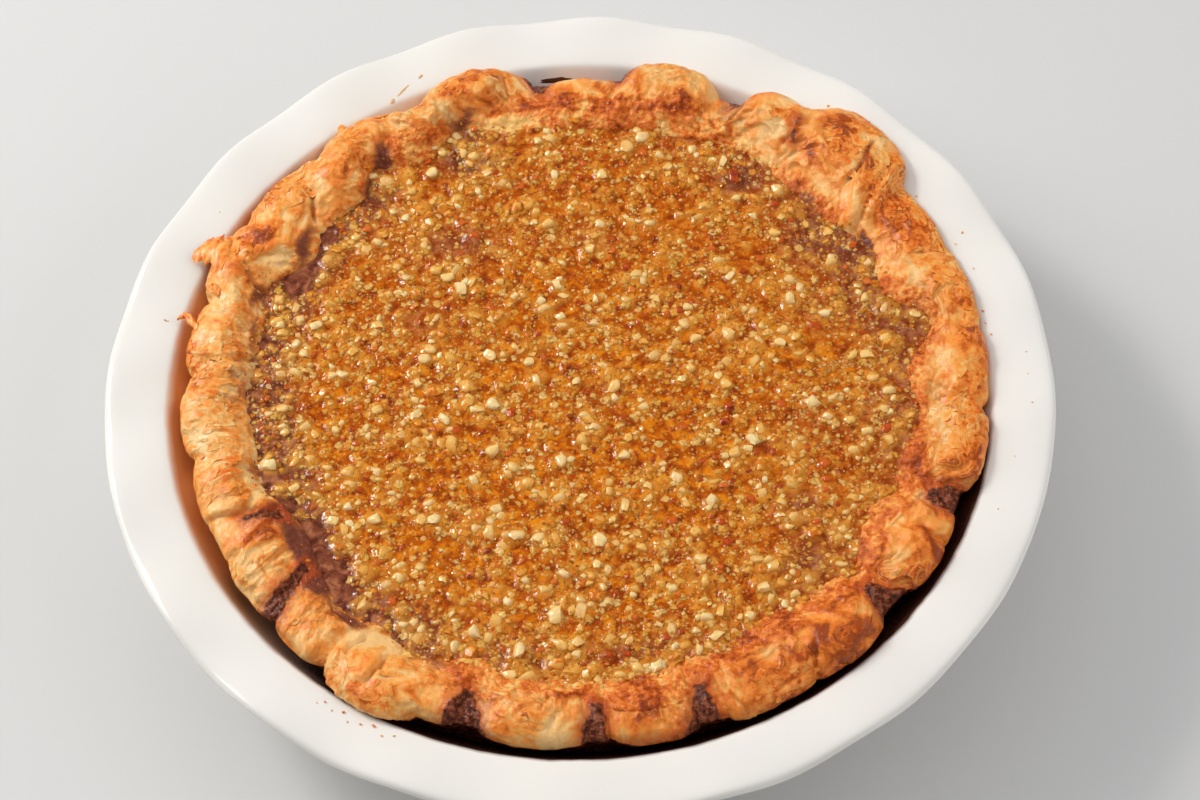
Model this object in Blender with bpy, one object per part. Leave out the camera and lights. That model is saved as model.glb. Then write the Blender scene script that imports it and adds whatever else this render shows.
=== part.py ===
"""A sweet potato pecan pie in its fluted white pie dish.

Three pieces: the glazed dish, the pastry case that lines it, and the baked filling with its chopped
pecans. The origin is at the centre of the dish's foot, on the table, with +Z up and -Y at the front.
Sizes are in millimetres until a point is placed. A bearing is an angle in degrees, clockwise as seen
from above, from 0 at the back of the dish.
"""

import math
import random

import bmesh
import bpy
from mathutils import Vector, noise

MM = 0.001
GAP = 0.35  # left between pieces that touch

# The dish: a steep well with a wide flange that waves up and down round its edge.
RIM_RADIUS = 134.0
RIM_HEIGHT = 46.4
RIM_THICKNESS = 4.2
FLUTES = 20
FLUTE_CREST = 4.75  # bearing of the crest that is nearest to the back
FLUTE_DEPTH = 1.15  # from mid height to a crest
MOUTH_RADIUS = 116.5
MOUTH_HEIGHT = 45.3
FLANGE_RISE = 1.9
WELL_TOP = (114.4, 42.0)
WELL_FOOT = (94.8, 9.4)
WELL_FLOOR = 6.2
WALL = 6.0
FOOT_RADIUS = 92.0
FOOT_WIDTH = 6.5
FOOT_RECESS = 1.2

# The pastry: a thin case, turned over at the top into a thick edge that was pinched into crimps.
PASTRY = 4.2
ROLL = 8.8  # from the outermost radius in to the ridge
AIR_GAP = 2.0  # how far the roll shrank from the dish's wall as it baked, all round but the back
CRAG = 0.45  # depth of the crags on the baked edge
LEAN_RADIUS = 113.0  # where a leaning crimp has its stated bearing
CRIMPS = (  # bearing, half width in degrees, reach, rise over the rim, lean in degrees a millimetre
    (2.5, 5.5, 110.6, 2.6, 0.0),
    (17.0, 8.2, 116.4, 6.2, 0.1),
    (34.0, 7.0, 117.2, 5.4, 0.1),
    (47.0, 9.4, 123.2, 7.2, -0.35),
    (61.5, 6.8, 117.0, 3.9, -0.2),
    (75.5, 7.2, 117.0, 3.8, 0.0),
    (88.5, 7.2, 115.8, 3.9, 0.0),
    (103.5, 7.0, 115.4, 4.3, 0.0),
    (118.0, 3.4, 113.2, 3.9, 0.0),
    (123.8, 4.6, 113.6, 4.2, 0.0),
    (141.0, 7.0, 114.2, 4.6, 0.0),
    (154.0, 7.0, 114.0, 4.4, 0.15),
    (171.0, 6.0, 113.5, 3.6, 0.0),
    (188.5, 7.6, 113.4, 4.4, 0.0),
    (203.0, 4.0, 111.8, 3.1, 0.0),
    (212.0, 7.6, 117.2, 5.0, 0.0),
    (224.8, 5.0, 112.9, 4.0, 0.0),
    (236.0, 6.0, 112.2, 3.8, -0.2),
    (244.5, 4.0, 110.8, 3.2, 0.0),
    (252.8, 6.2, 111.4, 3.6, 0.0),
    (267.5, 7.0, 112.6, 3.8, 0.1),
    (281.5, 7.0, 112.4, 4.0, 0.3),
    (295.0, 7.0, 115.2, 4.7, 0.4),
    (310.0, 7.8, 114.2, 4.4, 0.45),
    (325.5, 7.6, 115.0, 5.4, 0.5),
    (345.5, 9.0, 116.6, 6.2, 0.75),
)
VALLEYS = (  # bearing, reach and rise that the dips between the crimps go down to
    (0.0, 109.3, 1.0),
    (10.0, 110.0, 1.2),
    (27.0, 114.0, 3.6),
    (41.0, 115.8, 3.8),
    (56.0, 115.6, 3.0),
    (69.0, 115.8, 2.7),
    (83.0, 115.0, 2.7),
    (98.0, 113.0, 2.7),
    (111.0, 110.8, 1.1),
    (120.0, 112.0, 2.8),
    (131.0, 110.4, 0.9),
    (148.0, 112.0, 3.0),
    (158.0, 112.2, 3.0),
    (165.0, 110.8, 1.3),
    (178.0, 111.0, 2.0),
    (197.0, 110.0, 1.2),
    (207.0, 110.4, 2.2),
    (219.0, 111.0, 2.6),
    (231.0, 110.0, 1.4),
    (241.0, 110.8, 2.4),
    (248.0, 110.2, 2.2),
    (259.0, 109.4, 2.6),
    (274.0, 109.6, 2.6),
    (288.0, 110.2, 2.6),
    (302.0, 111.4, 2.6),
    (317.0, 111.6, 2.6),
    (333.0, 111.6, 2.8),
    (354.0, 109.0, 1.0),
)

# The filling: it stands just under the rim, and its edge runs into bays between the crimps.
FILL_LEVEL = 44.4
FILL_RADIUS = 93.0
FILL_SWELL = 0.5
BAYS = (  # bearing, half width in degrees, how far the edge of the filling runs outwards
    (30.0, 17.0, 3.5),
    (62.0, 9.0, 4.0),
    (80.0, 9.0, 9.5),
    (98.0, 9.0, 3.5),
    (120.0, 8.0, -3.0),
    (130.5, 5.0, 3.0),
    (147.0, 11.0, -3.8),
    (163.0, 6.0, -3.0),
    (199.0, 5.0, -3.0),
    (209.0, 8.0, 2.4),
    (224.0, 8.0, 2.4),
    (241.0, 13.0, -4.2),
    (293.0, 7.0, 5.0),
    (303.0, 6.0, -2.6),
    (324.0, 5.0, 6.5),
    (341.0, 7.0, 6.0),
)

# The chopped pecans that stand out of the filling; the finer chop is left out.
PECANS = 132
PECAN_LONG = (4.2, 6.8)
PECAN_MARGIN = 6.0
GOLDEN_ANGLE = 137.508

STEPS_FINE = 150
STEPS_RIM = 120
STEPS_PLAIN = 60


# ---------------------------------------------------------------------------------- points and rings


def point(bearing, radius, height):
    angle = math.radians(bearing)
    return Vector((radius * math.sin(angle), radius * math.cos(angle), height)) * MM


def bearings(steps):
    return [FLUTE_CREST + 360.0 * i / steps for i in range(steps)]


def turned(radius, height, steps):
    """A plain round ring."""
    return [point(bearing, radius, height) for bearing in bearings(steps)]


def stitch(bm, low, high):
    """Triangles between two rings whose counts may differ. A ring of one is a pole."""
    i = 0
    j = 0
    low_end = len(low) if len(low) > 1 else 0
    high_end = len(high) if len(high) > 1 else 0
    while i < low_end or j < high_end:
        a = low[i % len(low)]
        b = high[j % len(high)]
        if j >= high_end or (i < low_end and (i + 1) * high_end <= (j + 1) * low_end):
            i += 1
            bm.faces.new((a, b, low[i % len(low)]))
        else:
            j += 1
            bm.faces.new((a, b, high[j % len(high)]))


def skin(name, rings, colour, roughness):
    """One closed body through rings that start and end at a pole."""
    bm = bmesh.new()
    made = [[bm.verts.new(place) for place in ring] for ring in rings]
    for low, high in zip(made, made[1:]):
        stitch(bm, low, high)
    bmesh.ops.recalc_face_normals(bm, faces=bm.faces)
    return finish(name, bm, colour, roughness)


def finish(name, bm, colour, roughness):
    mesh = bpy.data.meshes.new(name)
    bm.to_mesh(mesh)
    bm.free()
    mesh.shade_smooth()
    mesh.set_sharp_from_angle(angle=math.radians(50.0))
    mesh.materials.append(plain_material(name, colour, roughness))
    piece = bpy.data.objects.new(name, mesh)
    bpy.context.scene.collection.objects.link(piece)
    return piece


def plain_material(name, colour, roughness):
    material = bpy.data.materials.new(name)
    material.use_nodes = True
    shader = material.node_tree.nodes["Principled BSDF"]
    shader.inputs["Base Color"].default_value = (*colour, 1.0)
    shader.inputs["Roughness"].default_value = roughness
    shader.inputs["Metallic"].default_value = 0.0
    return material


def mix(low, high, share):
    return low + (high - low) * share


def clamp(value):
    return min(1.0, max(0.0, value))


def turn(bearing, centre):
    """Degrees from centre to bearing, the short way round."""
    return (bearing - centre + 180.0) % 360.0 - 180.0


# -------------------------------------------------------------------------------------------- dish


def well_radius(height):
    share = (height - WELL_FOOT[1]) / (WELL_TOP[1] - WELL_FOOT[1])
    return mix(WELL_FOOT[0], WELL_TOP[0], share)


def flange_top(radius):
    share = clamp((radius - MOUTH_RADIUS) / (RIM_RADIUS - MOUTH_RADIUS))
    return MOUTH_HEIGHT + FLANGE_RISE * (1.0 - (1.0 - share) ** 1.6)


def flute(bearing, radius):
    """How far the flange is lifted or lowered there by its waves."""
    share = clamp((radius - MOUTH_RADIUS) / (RIM_RADIUS - MOUTH_RADIUS))
    return FLUTE_DEPTH * share**1.2 * math.cos(math.radians(FLUTES * (bearing - FLUTE_CREST)))


def fluted(radius, height):
    return [
        point(bearing, radius, height + flute(bearing, radius)) for bearing in bearings(STEPS_RIM)
    ]


def make_dish():
    top = flange_top(RIM_RADIUS)
    under = top - RIM_THICKNESS
    outer_top = well_radius(37.0) + WALL
    rings = [[point(0.0, 0.0, FOOT_RECESS)]]
    rings += [
        turned(radius, height, STEPS_PLAIN)
        for radius, height in (
            (FOOT_RADIUS - FOOT_WIDTH - 1.0, FOOT_RECESS),
            (FOOT_RADIUS - FOOT_WIDTH, 0.0),
            (FOOT_RADIUS, 0.0),
            (FOOT_RADIUS + 3.8, 1.4),
            (well_radius(6.0) + WALL, 6.0),
        )
    ]
    rings += [
        fluted(radius, height)
        for radius, height in (
            (outer_top, 37.0),
            (outer_top + 3.2, MOUTH_HEIGHT - 5.4),
            (RIM_RADIUS - 4.0, under - 0.3),
            (RIM_RADIUS - 0.9, under + 0.5),
            (RIM_RADIUS, mix(under, top, 0.55)),
            (RIM_RADIUS - 0.9, top - 0.35),
            (RIM_RADIUS - 3.6, flange_top(RIM_RADIUS - 3.6)),
            (mix(MOUTH_RADIUS, RIM_RADIUS, 0.4), flange_top(mix(MOUTH_RADIUS, RIM_RADIUS, 0.4))),
            (MOUTH_RADIUS + 0.8, MOUTH_HEIGHT + 0.1),
            (MOUTH_RADIUS - 1.3, MOUTH_HEIGHT - 1.2),
            WELL_TOP,
        )
    ]
    rings += [
        turned(WELL_FOOT[0], WELL_FOOT[1], STEPS_PLAIN),
        turned(WELL_FOOT[0] - 3.4, WELL_FLOOR, STEPS_PLAIN),
        [point(0.0, 0.0, WELL_FLOOR)],
    ]
    return skin("dish", rings, (0.86, 0.84, 0.80), 0.12)


# ------------------------------------------------------------------------------------------ pastry


def lobe(offset, half_width):
    """A plump round-topped bump, 1 at its middle and 0 at its half width."""
    share = abs(offset) / half_width
    return (1.0 - share**2.4) ** 0.6 if share < 1.0 else 0.0


def dip(bearing, column):
    """The reach (column 1) or rise (column 2) of the dips there, run on from each to the next."""
    bearing %= 360.0
    ends = VALLEYS[1:] + ((360.0, *VALLEYS[0][1:]),)
    for low, high in zip(VALLEYS, ends):
        if bearing <= high[0]:
            return mix(low[column], high[column], (bearing - low[0]) / (high[0] - low[0]))


def crimp(bearing, radius, column):
    """The tallest crimp there, as a reach (column 2) or a rise (column 3)."""
    base = dip(bearing, column - 1)
    most = 0.0
    for made in CRIMPS:
        middle = made[0] - made[4] * (LEAN_RADIUS - radius)
        most = max(most, (made[column] - base) * lobe(turn(bearing, middle), made[1]))
    return base + most


def reach(bearing):
    return crimp(bearing, LEAN_RADIUS, 2)


def ridge_height(bearing, radius):
    return RIM_HEIGHT + crimp(bearing, radius, 3)


def air_gap(bearing):
    return AIR_GAP * clamp((bearing % 360.0 - 88.0) / 24.0) * clamp((334.0 - bearing % 360.0) / 16.0)


def fill_radius(bearing):
    radius = FILL_RADIUS
    for middle, half_width, depth in BAYS:
        share = abs(turn(bearing, middle)) / half_width
        if share < 1.0:
            radius += depth * (0.5 + 0.5 * math.cos(math.pi * share))
    return radius


def crag(place, depth):
    """Rough relief of a baked surface, as a push up or down."""
    return depth * noise.noise(place * 160.0) + 0.6 * depth * noise.noise(place * 420.0)


def edge_profile(bearing):
    """The pastry's edge at a bearing: from under its outer side, over the ridge, down to the filling."""
    outside = reach(bearing)
    over = clamp((outside - 114.0) / 2.0)  # 1 where the edge lies over the flange
    inside = fill_radius(bearing)
    ridge = outside - ROLL - 2.5 * clamp((outside - 117.0) / 5.0)
    belly = mix(45.2, flange_top(outside) + 1.3, over)
    top = ridge_height(bearing, ridge)
    gap = air_gap(bearing)
    rows = [
        (min(well_radius(40.6) - 0.6 - gap, outside - 0.9), 40.6),
        (min(MOUTH_RADIUS - 1.6 - 0.7 * gap, outside - 0.25), mix(43.8, 45.9, over)),
    ]
    for angle in (0.0, 34.0, 62.0, 90.0):
        swing = math.radians(angle)
        rows.append(
            (mix(ridge, outside, math.cos(swing)), mix(belly, top, math.sin(swing)))
        )
    for share in (0.22, 0.46, 0.74):
        radius = mix(ridge, inside, share)
        height = ridge_height(bearing, radius)
        rows.append((radius, mix(FILL_LEVEL + 0.5, height, 1.0 - share**1.7)))
    for i in range(2, len(rows)):
        radius, height = rows[i]
        rows[i] = (radius, height + crag(point(bearing, radius, height), CRAG))
    return rows


def case_profile(bearing):
    """The inner side of the pastry case at a bearing, from the filling's edge down under the edge."""
    inside = fill_radius(bearing)
    return [(inside, FILL_LEVEL + 0.5), (inside + 0.6, FILL_LEVEL - 3.0)]


def case_floor():
    """The rest of the inner side, which is round: the slope under the edge, the wall and the floor."""
    return [
        (well_radius(35.0) - PASTRY - 1.5, 35.0),
        (well_radius(12.5) - PASTRY, 12.5),
        (WELL_FOOT[0] - 3.4 - PASTRY, WELL_FLOOR + GAP + PASTRY),
    ]


def shrink(profile, gap):
    """The same outline moved in by gap, towards the filling. It runs down and then to the middle."""
    moved = []
    for i, (radius, height) in enumerate(profile):
        sides = []
        for (r0, z0), (r1, z1) in zip(profile, profile[1:]):
            length = math.hypot(r1 - r0, z1 - z0)
            sides.append(((z1 - z0) / length, -(r1 - r0) / length))
        sides = sides[max(0, i - 1) : i + 1]
        push_r = sum(side[0] for side in sides) / len(sides)
        push_z = sum(side[1] for side in sides) / len(sides)
        scale = gap / (push_r**2 + push_z**2)
        moved.append((radius + push_r * scale, height + push_z * scale))
    return moved


def rows_to_rings(profile_at):
    """Rings through the same row of the profile at every bearing."""
    profiles = [profile_at(bearing) for bearing in bearings(STEPS_FINE)]
    return [
        [point(bearing, *profile[row]) for bearing, profile in zip(bearings(STEPS_FINE), profiles)]
        for row in range(len(profiles[0]))
    ]


def make_crust():
    rings = [[point(0.0, 0.0, WELL_FLOOR + GAP)]]
    rings += [
        turned(radius, height, STEPS_PLAIN)
        for radius, height in (
            (WELL_FOOT[0] - 3.6, WELL_FLOOR + GAP),
            (WELL_FOOT[0] - 0.5, WELL_FOOT[1] + 0.2),
            (well_radius(38.0) - GAP - 0.15, 38.0),
        )
    ]
    rings += rows_to_rings(edge_profile)
    rings += rows_to_rings(case_profile)
    rings += [turned(radius, height, STEPS_PLAIN) for radius, height in case_floor()]
    rings += [[point(0.0, 0.0, case_floor()[-1][1])]]
    return skin("crust", rings, (0.72, 0.36, 0.12), 0.55)


# ----------------------------------------------------------------------------------------- filling


def fill_height(x, y):
    """The top of the filling: level, with the slow swell of a baked custard."""
    place = Vector((x, y, 0.0))
    return FILL_LEVEL + FILL_SWELL * noise.noise(place / 26.0) + 0.3 * noise.noise(place / 9.0)


def fill_profile(bearing):
    """The filling's side at a bearing, from its top edge down under the pastry's edge."""
    side = case_profile(bearing) + case_floor()
    (_, lip), low = side[0], side[1:]
    edge = (fill_radius(bearing), lip - 0.9)
    return shrink([edge] + low, GAP)[:2]


def top_ring(share, steps):
    ring = []
    for bearing in bearings(steps):
        radius = share * fill_radius(bearing)
        angle = math.radians(bearing)
        ring.append(
            point(bearing, radius, fill_height(radius * math.sin(angle), radius * math.cos(angle)))
        )
    return ring


def make_filling_body():
    """Rings from the middle of the top, over the edge and down to the floor, as the case's run."""
    floor = shrink(case_profile(0.0)[1:] + case_floor() + [(0.0, case_floor()[-1][1])], GAP)
    rings = [[point(0.0, 0.0, fill_height(0.0, 0.0))]]
    for share, steps in ((0.18, 15), (0.38, 30), (0.6, 60), (0.8, 60), (0.95, 75)):
        rings.append(top_ring(share, steps))
    rings += rows_to_rings(fill_profile)
    rings += [turned(radius, height, STEPS_PLAIN) for radius, height in floor[1:-1]]
    rings += [[point(0.0, 0.0, floor[-1][1])]]
    return skin("filling", rings, (0.45, 0.20, 0.04), 0.2)


def make_pecan(i, draw):
    """A chopped piece of pecan: an uneven lump, sunk a little under half way into the filling."""
    share = math.sqrt((i + 0.5) / PECANS)
    bearing = i * GOLDEN_ANGLE + draw.uniform(-4.0, 4.0)
    radius = share * (fill_radius(bearing) - PECAN_MARGIN) + draw.uniform(-1.5, 0.5)
    angle = math.radians(bearing)
    x = radius * math.sin(angle)
    y = radius * math.cos(angle)
    long_side = draw.uniform(*PECAN_LONG)
    size = Vector((long_side, long_side * draw.uniform(0.62, 0.9), long_side * draw.uniform(0.42, 0.56)))
    spin = draw.uniform(0.0, math.pi)
    bm = bmesh.new()
    bmesh.ops.create_icosphere(bm, subdivisions=1, radius=0.5)
    for vert in bm.verts:
        uneven = Vector([draw.uniform(0.86, 1.14) for _ in range(3)])
        across = vert.co * size * uneven
        vert.co = Vector(
            (
                x + across.x * math.cos(spin) - across.y * math.sin(spin),
                y + across.x * math.sin(spin) + across.y * math.cos(spin),
                fill_height(x, y) + 0.12 * size.z + across.z,
            )
        ) * MM
    bmesh.ops.recalc_face_normals(bm, faces=bm.faces)
    mesh = bpy.data.meshes.new("pecan")
    bm.to_mesh(mesh)
    bm.free()
    return bpy.data.objects.new("pecan", mesh)


def make_filling():
    """The filling with its pecans fused on."""
    filling = make_filling_body()
    draw = random.Random(7)
    pecans = bpy.data.collections.new("pecans")
    bpy.context.scene.collection.children.link(pecans)
    for i in range(PECANS):
        pecans.objects.link(make_pecan(i, draw))
    fuse = filling.modifiers.new("fuse", "BOOLEAN")
    fuse.operation = "UNION"
    fuse.operand_type = "COLLECTION"
    fuse.collection = pecans
    fuse.solver = "EXACT"
    bpy.context.view_layer.objects.active = filling
    bpy.ops.object.modifier_apply(modifier=fuse.name)
    for pecan in list(pecans.objects):
        bpy.data.objects.remove(pecan)
    bpy.data.collections.remove(pecans)
    return filling


for old in list(bpy.data.objects):
    bpy.data.objects.remove(old)

make_dish()
make_crust()
make_filling()
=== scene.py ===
"""The looks of a sweet potato pecan pie in its fluted white dish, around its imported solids."""

import math
import random

import bpy
import numpy as np
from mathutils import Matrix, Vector, bvhtree, noise


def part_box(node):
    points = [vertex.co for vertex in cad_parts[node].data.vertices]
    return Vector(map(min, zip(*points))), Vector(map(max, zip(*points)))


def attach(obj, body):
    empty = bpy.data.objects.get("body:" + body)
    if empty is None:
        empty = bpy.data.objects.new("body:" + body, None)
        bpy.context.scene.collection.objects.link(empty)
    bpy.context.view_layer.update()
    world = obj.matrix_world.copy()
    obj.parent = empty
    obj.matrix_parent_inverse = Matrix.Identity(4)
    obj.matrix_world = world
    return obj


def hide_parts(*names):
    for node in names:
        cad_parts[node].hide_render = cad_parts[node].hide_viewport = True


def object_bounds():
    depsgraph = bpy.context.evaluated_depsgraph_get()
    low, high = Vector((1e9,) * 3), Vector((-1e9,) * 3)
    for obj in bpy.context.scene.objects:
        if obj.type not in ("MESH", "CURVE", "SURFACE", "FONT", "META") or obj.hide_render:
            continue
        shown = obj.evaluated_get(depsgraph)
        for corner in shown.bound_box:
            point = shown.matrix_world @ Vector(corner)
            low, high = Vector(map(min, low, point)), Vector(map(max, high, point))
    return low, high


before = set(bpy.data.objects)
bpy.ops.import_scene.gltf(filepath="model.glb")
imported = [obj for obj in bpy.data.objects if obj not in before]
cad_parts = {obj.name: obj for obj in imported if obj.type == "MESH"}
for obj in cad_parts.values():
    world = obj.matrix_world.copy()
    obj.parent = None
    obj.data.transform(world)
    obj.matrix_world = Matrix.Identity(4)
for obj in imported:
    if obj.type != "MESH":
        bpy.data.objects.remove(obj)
cad_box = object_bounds()
bpy.ops.object.select_all(action="DESELECT")

MM = 0.001

# ------------------------------------------------------------------------------------------- camera
# The pie is looked down on from the front, from arm's length, with a lens that hardly narrows it.

view = bpy.data.cameras.new("camera")
view.sensor_width = 36.0
view.lens = 95.5
camera = bpy.data.objects.new("camera", view)
camera.location = (0.0, -0.4892, 0.7993)
camera.rotation_euler = (math.radians(32.73), math.radians(0.92), math.radians(-2.11))
bpy.context.scene.collection.objects.link(camera)
bpy.context.scene.camera = camera

# --------------------------------------------------------------------------------------------- dish
# A deep stoneware pie dish with a thick white glaze. Its wide flange waves up and down twenty times
# round its edge, and its steep well is plain. It stands on a ground foot ring.

_, dish_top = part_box("dish")
RIM_RADIUS = dish_top.x / MM
FLUTES = 20
FLUTE_CREST = 4.75  # bearing of a crest, clockwise in degrees from the back
FLUTE_DEPTH = 1.15
MOUTH_RADIUS = 116.5
MOUTH_HEIGHT = 45.3
FLANGE_RISE = 1.9
RIM_THICKNESS = 4.2
WELL_TOP = (114.4, 42.0)
WELL_FOOT = (94.8, 9.4)
WELL_FLOOR = 6.2
DISH_WALL = 6.0
FOOT_RADIUS = 92.0
FOOT_WIDTH = 6.5
FOOT_RECESS = 1.2
DISH_STEPS = 160


def places(piece):
    """The piece's vertices, in millimetres."""
    spots = np.empty(len(piece.data.vertices) * 3, np.float32)
    piece.data.vertices.foreach_get("co", spots)
    return spots.reshape(-1, 3).astype(float) / MM


def place(piece, spots):
    piece.data.vertices.foreach_set("co", (spots * MM).astype(np.float32).ravel())
    piece.data.update()


def mix(low, high, share):
    return low + (high - low) * share


def flange_top(radius):
    share = np.clip((radius - MOUTH_RADIUS) / (RIM_RADIUS - MOUTH_RADIUS), 0.0, 1.0)
    return MOUTH_HEIGHT + FLANGE_RISE * (1.0 - (1.0 - share) ** 1.6)


def flute(bearing, radius):
    share = np.clip((radius - MOUTH_RADIUS) / (RIM_RADIUS - MOUTH_RADIUS), 0.0, 1.0)
    return FLUTE_DEPTH * share**1.2 * np.cos(np.radians(FLUTES * (bearing - FLUTE_CREST)))


def well_radius(height):
    return np.interp(height, (WELL_FOOT[1], WELL_TOP[1]), (WELL_FOOT[0], WELL_TOP[0]))


def bearing_of(spots):
    return np.degrees(np.arctan2(spots[:, 0], spots[:, 1])) % 360.0


def linear(hex_colour):
    """An sRGB hex colour as the linear values that a shader takes."""
    parts = [int(hex_colour[i : i + 2], 16) / 255.0 for i in (1, 3, 5)]
    return (*(c / 12.92 if c <= 0.04045 else ((c + 0.055) / 1.055) ** 2.4 for c in parts), 1.0)


def add(tree, kind, sockets=None, output=0, stops=(), **settings):
    """Adds a shader node with its settings, colour stops and links, and gives back the wanted output."""
    made = tree.nodes.new("ShaderNode" + kind)
    for name, value in settings.items():
        setattr(made, name, value)
    for name, value in (sockets or {}).items():
        if isinstance(value, bpy.types.NodeSocket):
            tree.links.new(value, made.inputs[name])
        else:
            made.inputs[name].default_value = linear(value) if isinstance(value, str) else value
    if stops:
        ramp = made.color_ramp.elements
        ramp.remove(ramp[1])
        ramp[0].position = stops[0][0]
        ramp[0].color = linear(stops[0][1])
        for share, colour in stops[1:]:
            ramp.new(share).color = linear(colour)
    return made.outputs[output]


def new_material(name, **sockets):
    """A Principled material whose plain values sit on the shader's own sockets."""
    material = bpy.data.materials.new(name)
    material.use_nodes = True
    shader = material.node_tree.nodes["Principled BSDF"]
    for socket, value in sockets.items():
        shader.inputs[socket.replace("_", " ")].default_value = value
    return material, material.node_tree, shader


def connect(tree, shader, **outputs):
    """Links each output to the shader's socket of that name."""
    for socket, output in outputs.items():
        tree.links.new(output, shader.inputs[socket.replace("_", " ")])


def close_up(piece):
    """Turns the faces outwards, leaves edit mode and shades the piece smooth."""
    bpy.ops.mesh.select_all(action="SELECT")
    bpy.ops.mesh.normals_make_consistent(inside=False)
    bpy.ops.object.mode_set(mode="OBJECT")
    piece.data.shade_smooth()


def per_mm(size):
    """The scale that gives a pattern features of this many millimetres on Object coordinates."""
    return 1.0 / (size * MM)


def finished(piece, name, material):
    """Names the piece, gives it its finish and lets it ride with the pie."""
    piece.name = name
    piece.data.name = name
    piece.data.materials.clear()
    piece.data.materials.append(material)
    bpy.ops.object.select_all(action="DESELECT")
    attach(piece, "root")


rim_top = float(flange_top(RIM_RADIUS))
rim_under = rim_top - RIM_THICKNESS
wall_top = float(well_radius(37.0)) + DISH_WALL
DISH_OUTLINE = (  # radius and height, from the foot up the outside, over the rim and down the well
    (FOOT_RADIUS - FOOT_WIDTH - 0.8, FOOT_RECESS), (FOOT_RADIUS - FOOT_WIDTH, 0.0), (FOOT_RADIUS, 0.0),
    (FOOT_RADIUS + 3.8, 1.4), (WELL_FOOT[0] + DISH_WALL - 2.2, 6.0),
    (mix(WELL_FOOT[0], WELL_TOP[0], 0.5) + DISH_WALL - 0.5, 24.0), (wall_top, 37.0),
    (wall_top + 3.2, MOUTH_HEIGHT - 5.4), (RIM_RADIUS - 5.0, rim_under - 0.5),
    (RIM_RADIUS - 1.0, rim_under + 0.4), (RIM_RADIUS, rim_under + 1.7), (RIM_RADIUS, rim_top - 1.5),
    (RIM_RADIUS - 1.0, rim_top - 0.25), (RIM_RADIUS - 3.6, float(flange_top(RIM_RADIUS - 3.6)) + 0.1),
    (RIM_RADIUS - 10.0, float(flange_top(RIM_RADIUS - 10.0)) + 0.05),
    (MOUTH_RADIUS + 1.4, MOUTH_HEIGHT + 0.22), (MOUTH_RADIUS - 0.1, MOUTH_HEIGHT - 0.3),
    (MOUTH_RADIUS - 1.0, MOUTH_HEIGHT - 1.5), WELL_TOP,
    (mix(WELL_FOOT[0], WELL_TOP[0], 0.5), mix(WELL_FOOT[1], WELL_TOP[1], 0.5)), WELL_FOOT,
    (WELL_FOOT[0] - 3.4, WELL_FLOOR), (WELL_FOOT[0] - 9.0, WELL_FLOOR),
)

first_radius, first_height = DISH_OUTLINE[0]
bpy.ops.mesh.primitive_circle_add(vertices=DISH_STEPS, radius=first_radius * MM,
                                  location=(0, 0, first_height * MM))
dish = bpy.context.object
bpy.ops.object.transform_apply(location=True, rotation=False, scale=False)
bpy.ops.object.mode_set(mode="EDIT")
bpy.ops.mesh.select_all(action="SELECT")
for (low_radius, low_height), (radius, height) in zip(DISH_OUTLINE, DISH_OUTLINE[1:]):
    bpy.ops.mesh.extrude_region_move(TRANSFORM_OT_translate={"value": (0, 0, (height - low_height) * MM)})
    bpy.ops.transform.resize(value=(radius / low_radius, radius / low_radius, 1), center_override=(0, 0, 0))
bpy.ops.object.mode_set(mode="OBJECT")
spots = places(dish)
spots[:, 2] += flute(bearing_of(spots), np.hypot(spots[:, 0], spots[:, 1]))
place(dish, spots)
smooth = dish.modifiers.new("smooth", "SUBSURF")
smooth.levels = 2
smooth.render_levels = 2
bpy.ops.object.modifier_apply(modifier=smooth.name)
bpy.ops.object.mode_set(mode="EDIT")
bpy.ops.mesh.select_all(action="SELECT")
bpy.ops.mesh.fill_holes(sides=0)
close_up(dish)

# White stoneware glaze: a thick glass that pools a little, so the gloss wavers over a few
# centimetres. Where the foot is ground the bare body shows, matt and slightly warm. Inside the well
# on the left the glaze is painted orange: painted bounce light from the crust, with a little browned
# butter. At the front, under the lip, it is painted dark brown: painted shadow of the gap, with syrup
# burned on.
glaze, tree, shader = new_material("white_stoneware_glaze", Roughness=0.14, IOR=1.52, Coat_Weight=0.35,
                                   Coat_Roughness=0.05)
object_place = add(tree, "TexCoord", output="Object")
x = add(tree, "SeparateXYZ", {0: object_place})
y = x.node.outputs["Y"]
height = x.node.outputs["Z"]
flat = add(tree, "CombineXYZ", {0: x, 1: y})
reach = add(tree, "VectorMath", {0: flat}, "Value", operation="LENGTH")
pooling = add(tree, "TexNoise", {"Vector": object_place, "Scale": per_mm(28.0), "Detail": 2.0})
runny = add(tree, "TexNoise", {"Vector": object_place, "Scale": per_mm(9.0), "Detail": 2.0})
tint = add(tree, "Mix", {0: pooling, 6: "#F1EDE5", 7: "#F6F4EF"}, 2, data_type="RGBA")
wavering = add(tree, "Math", {0: runny, 1: 1.6 * MM, 2: reach}, operation="MULTIPLY_ADD")
below_lip = add(tree, "MapRange", {0: wavering, 1: 118.0 * MM, 2: 115.6 * MM})
off_wall = add(tree, "Math", {0: height, 1: -0.6, 2: reach}, operation="MULTIPLY_ADD")
on_inside = add(tree, "MapRange", {0: off_wall, 1: 93.0 * MM, 2: 91.5 * MM})
inside_well = add(tree, "Math", {0: below_lip, 1: on_inside}, operation="MULTIPLY")
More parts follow.
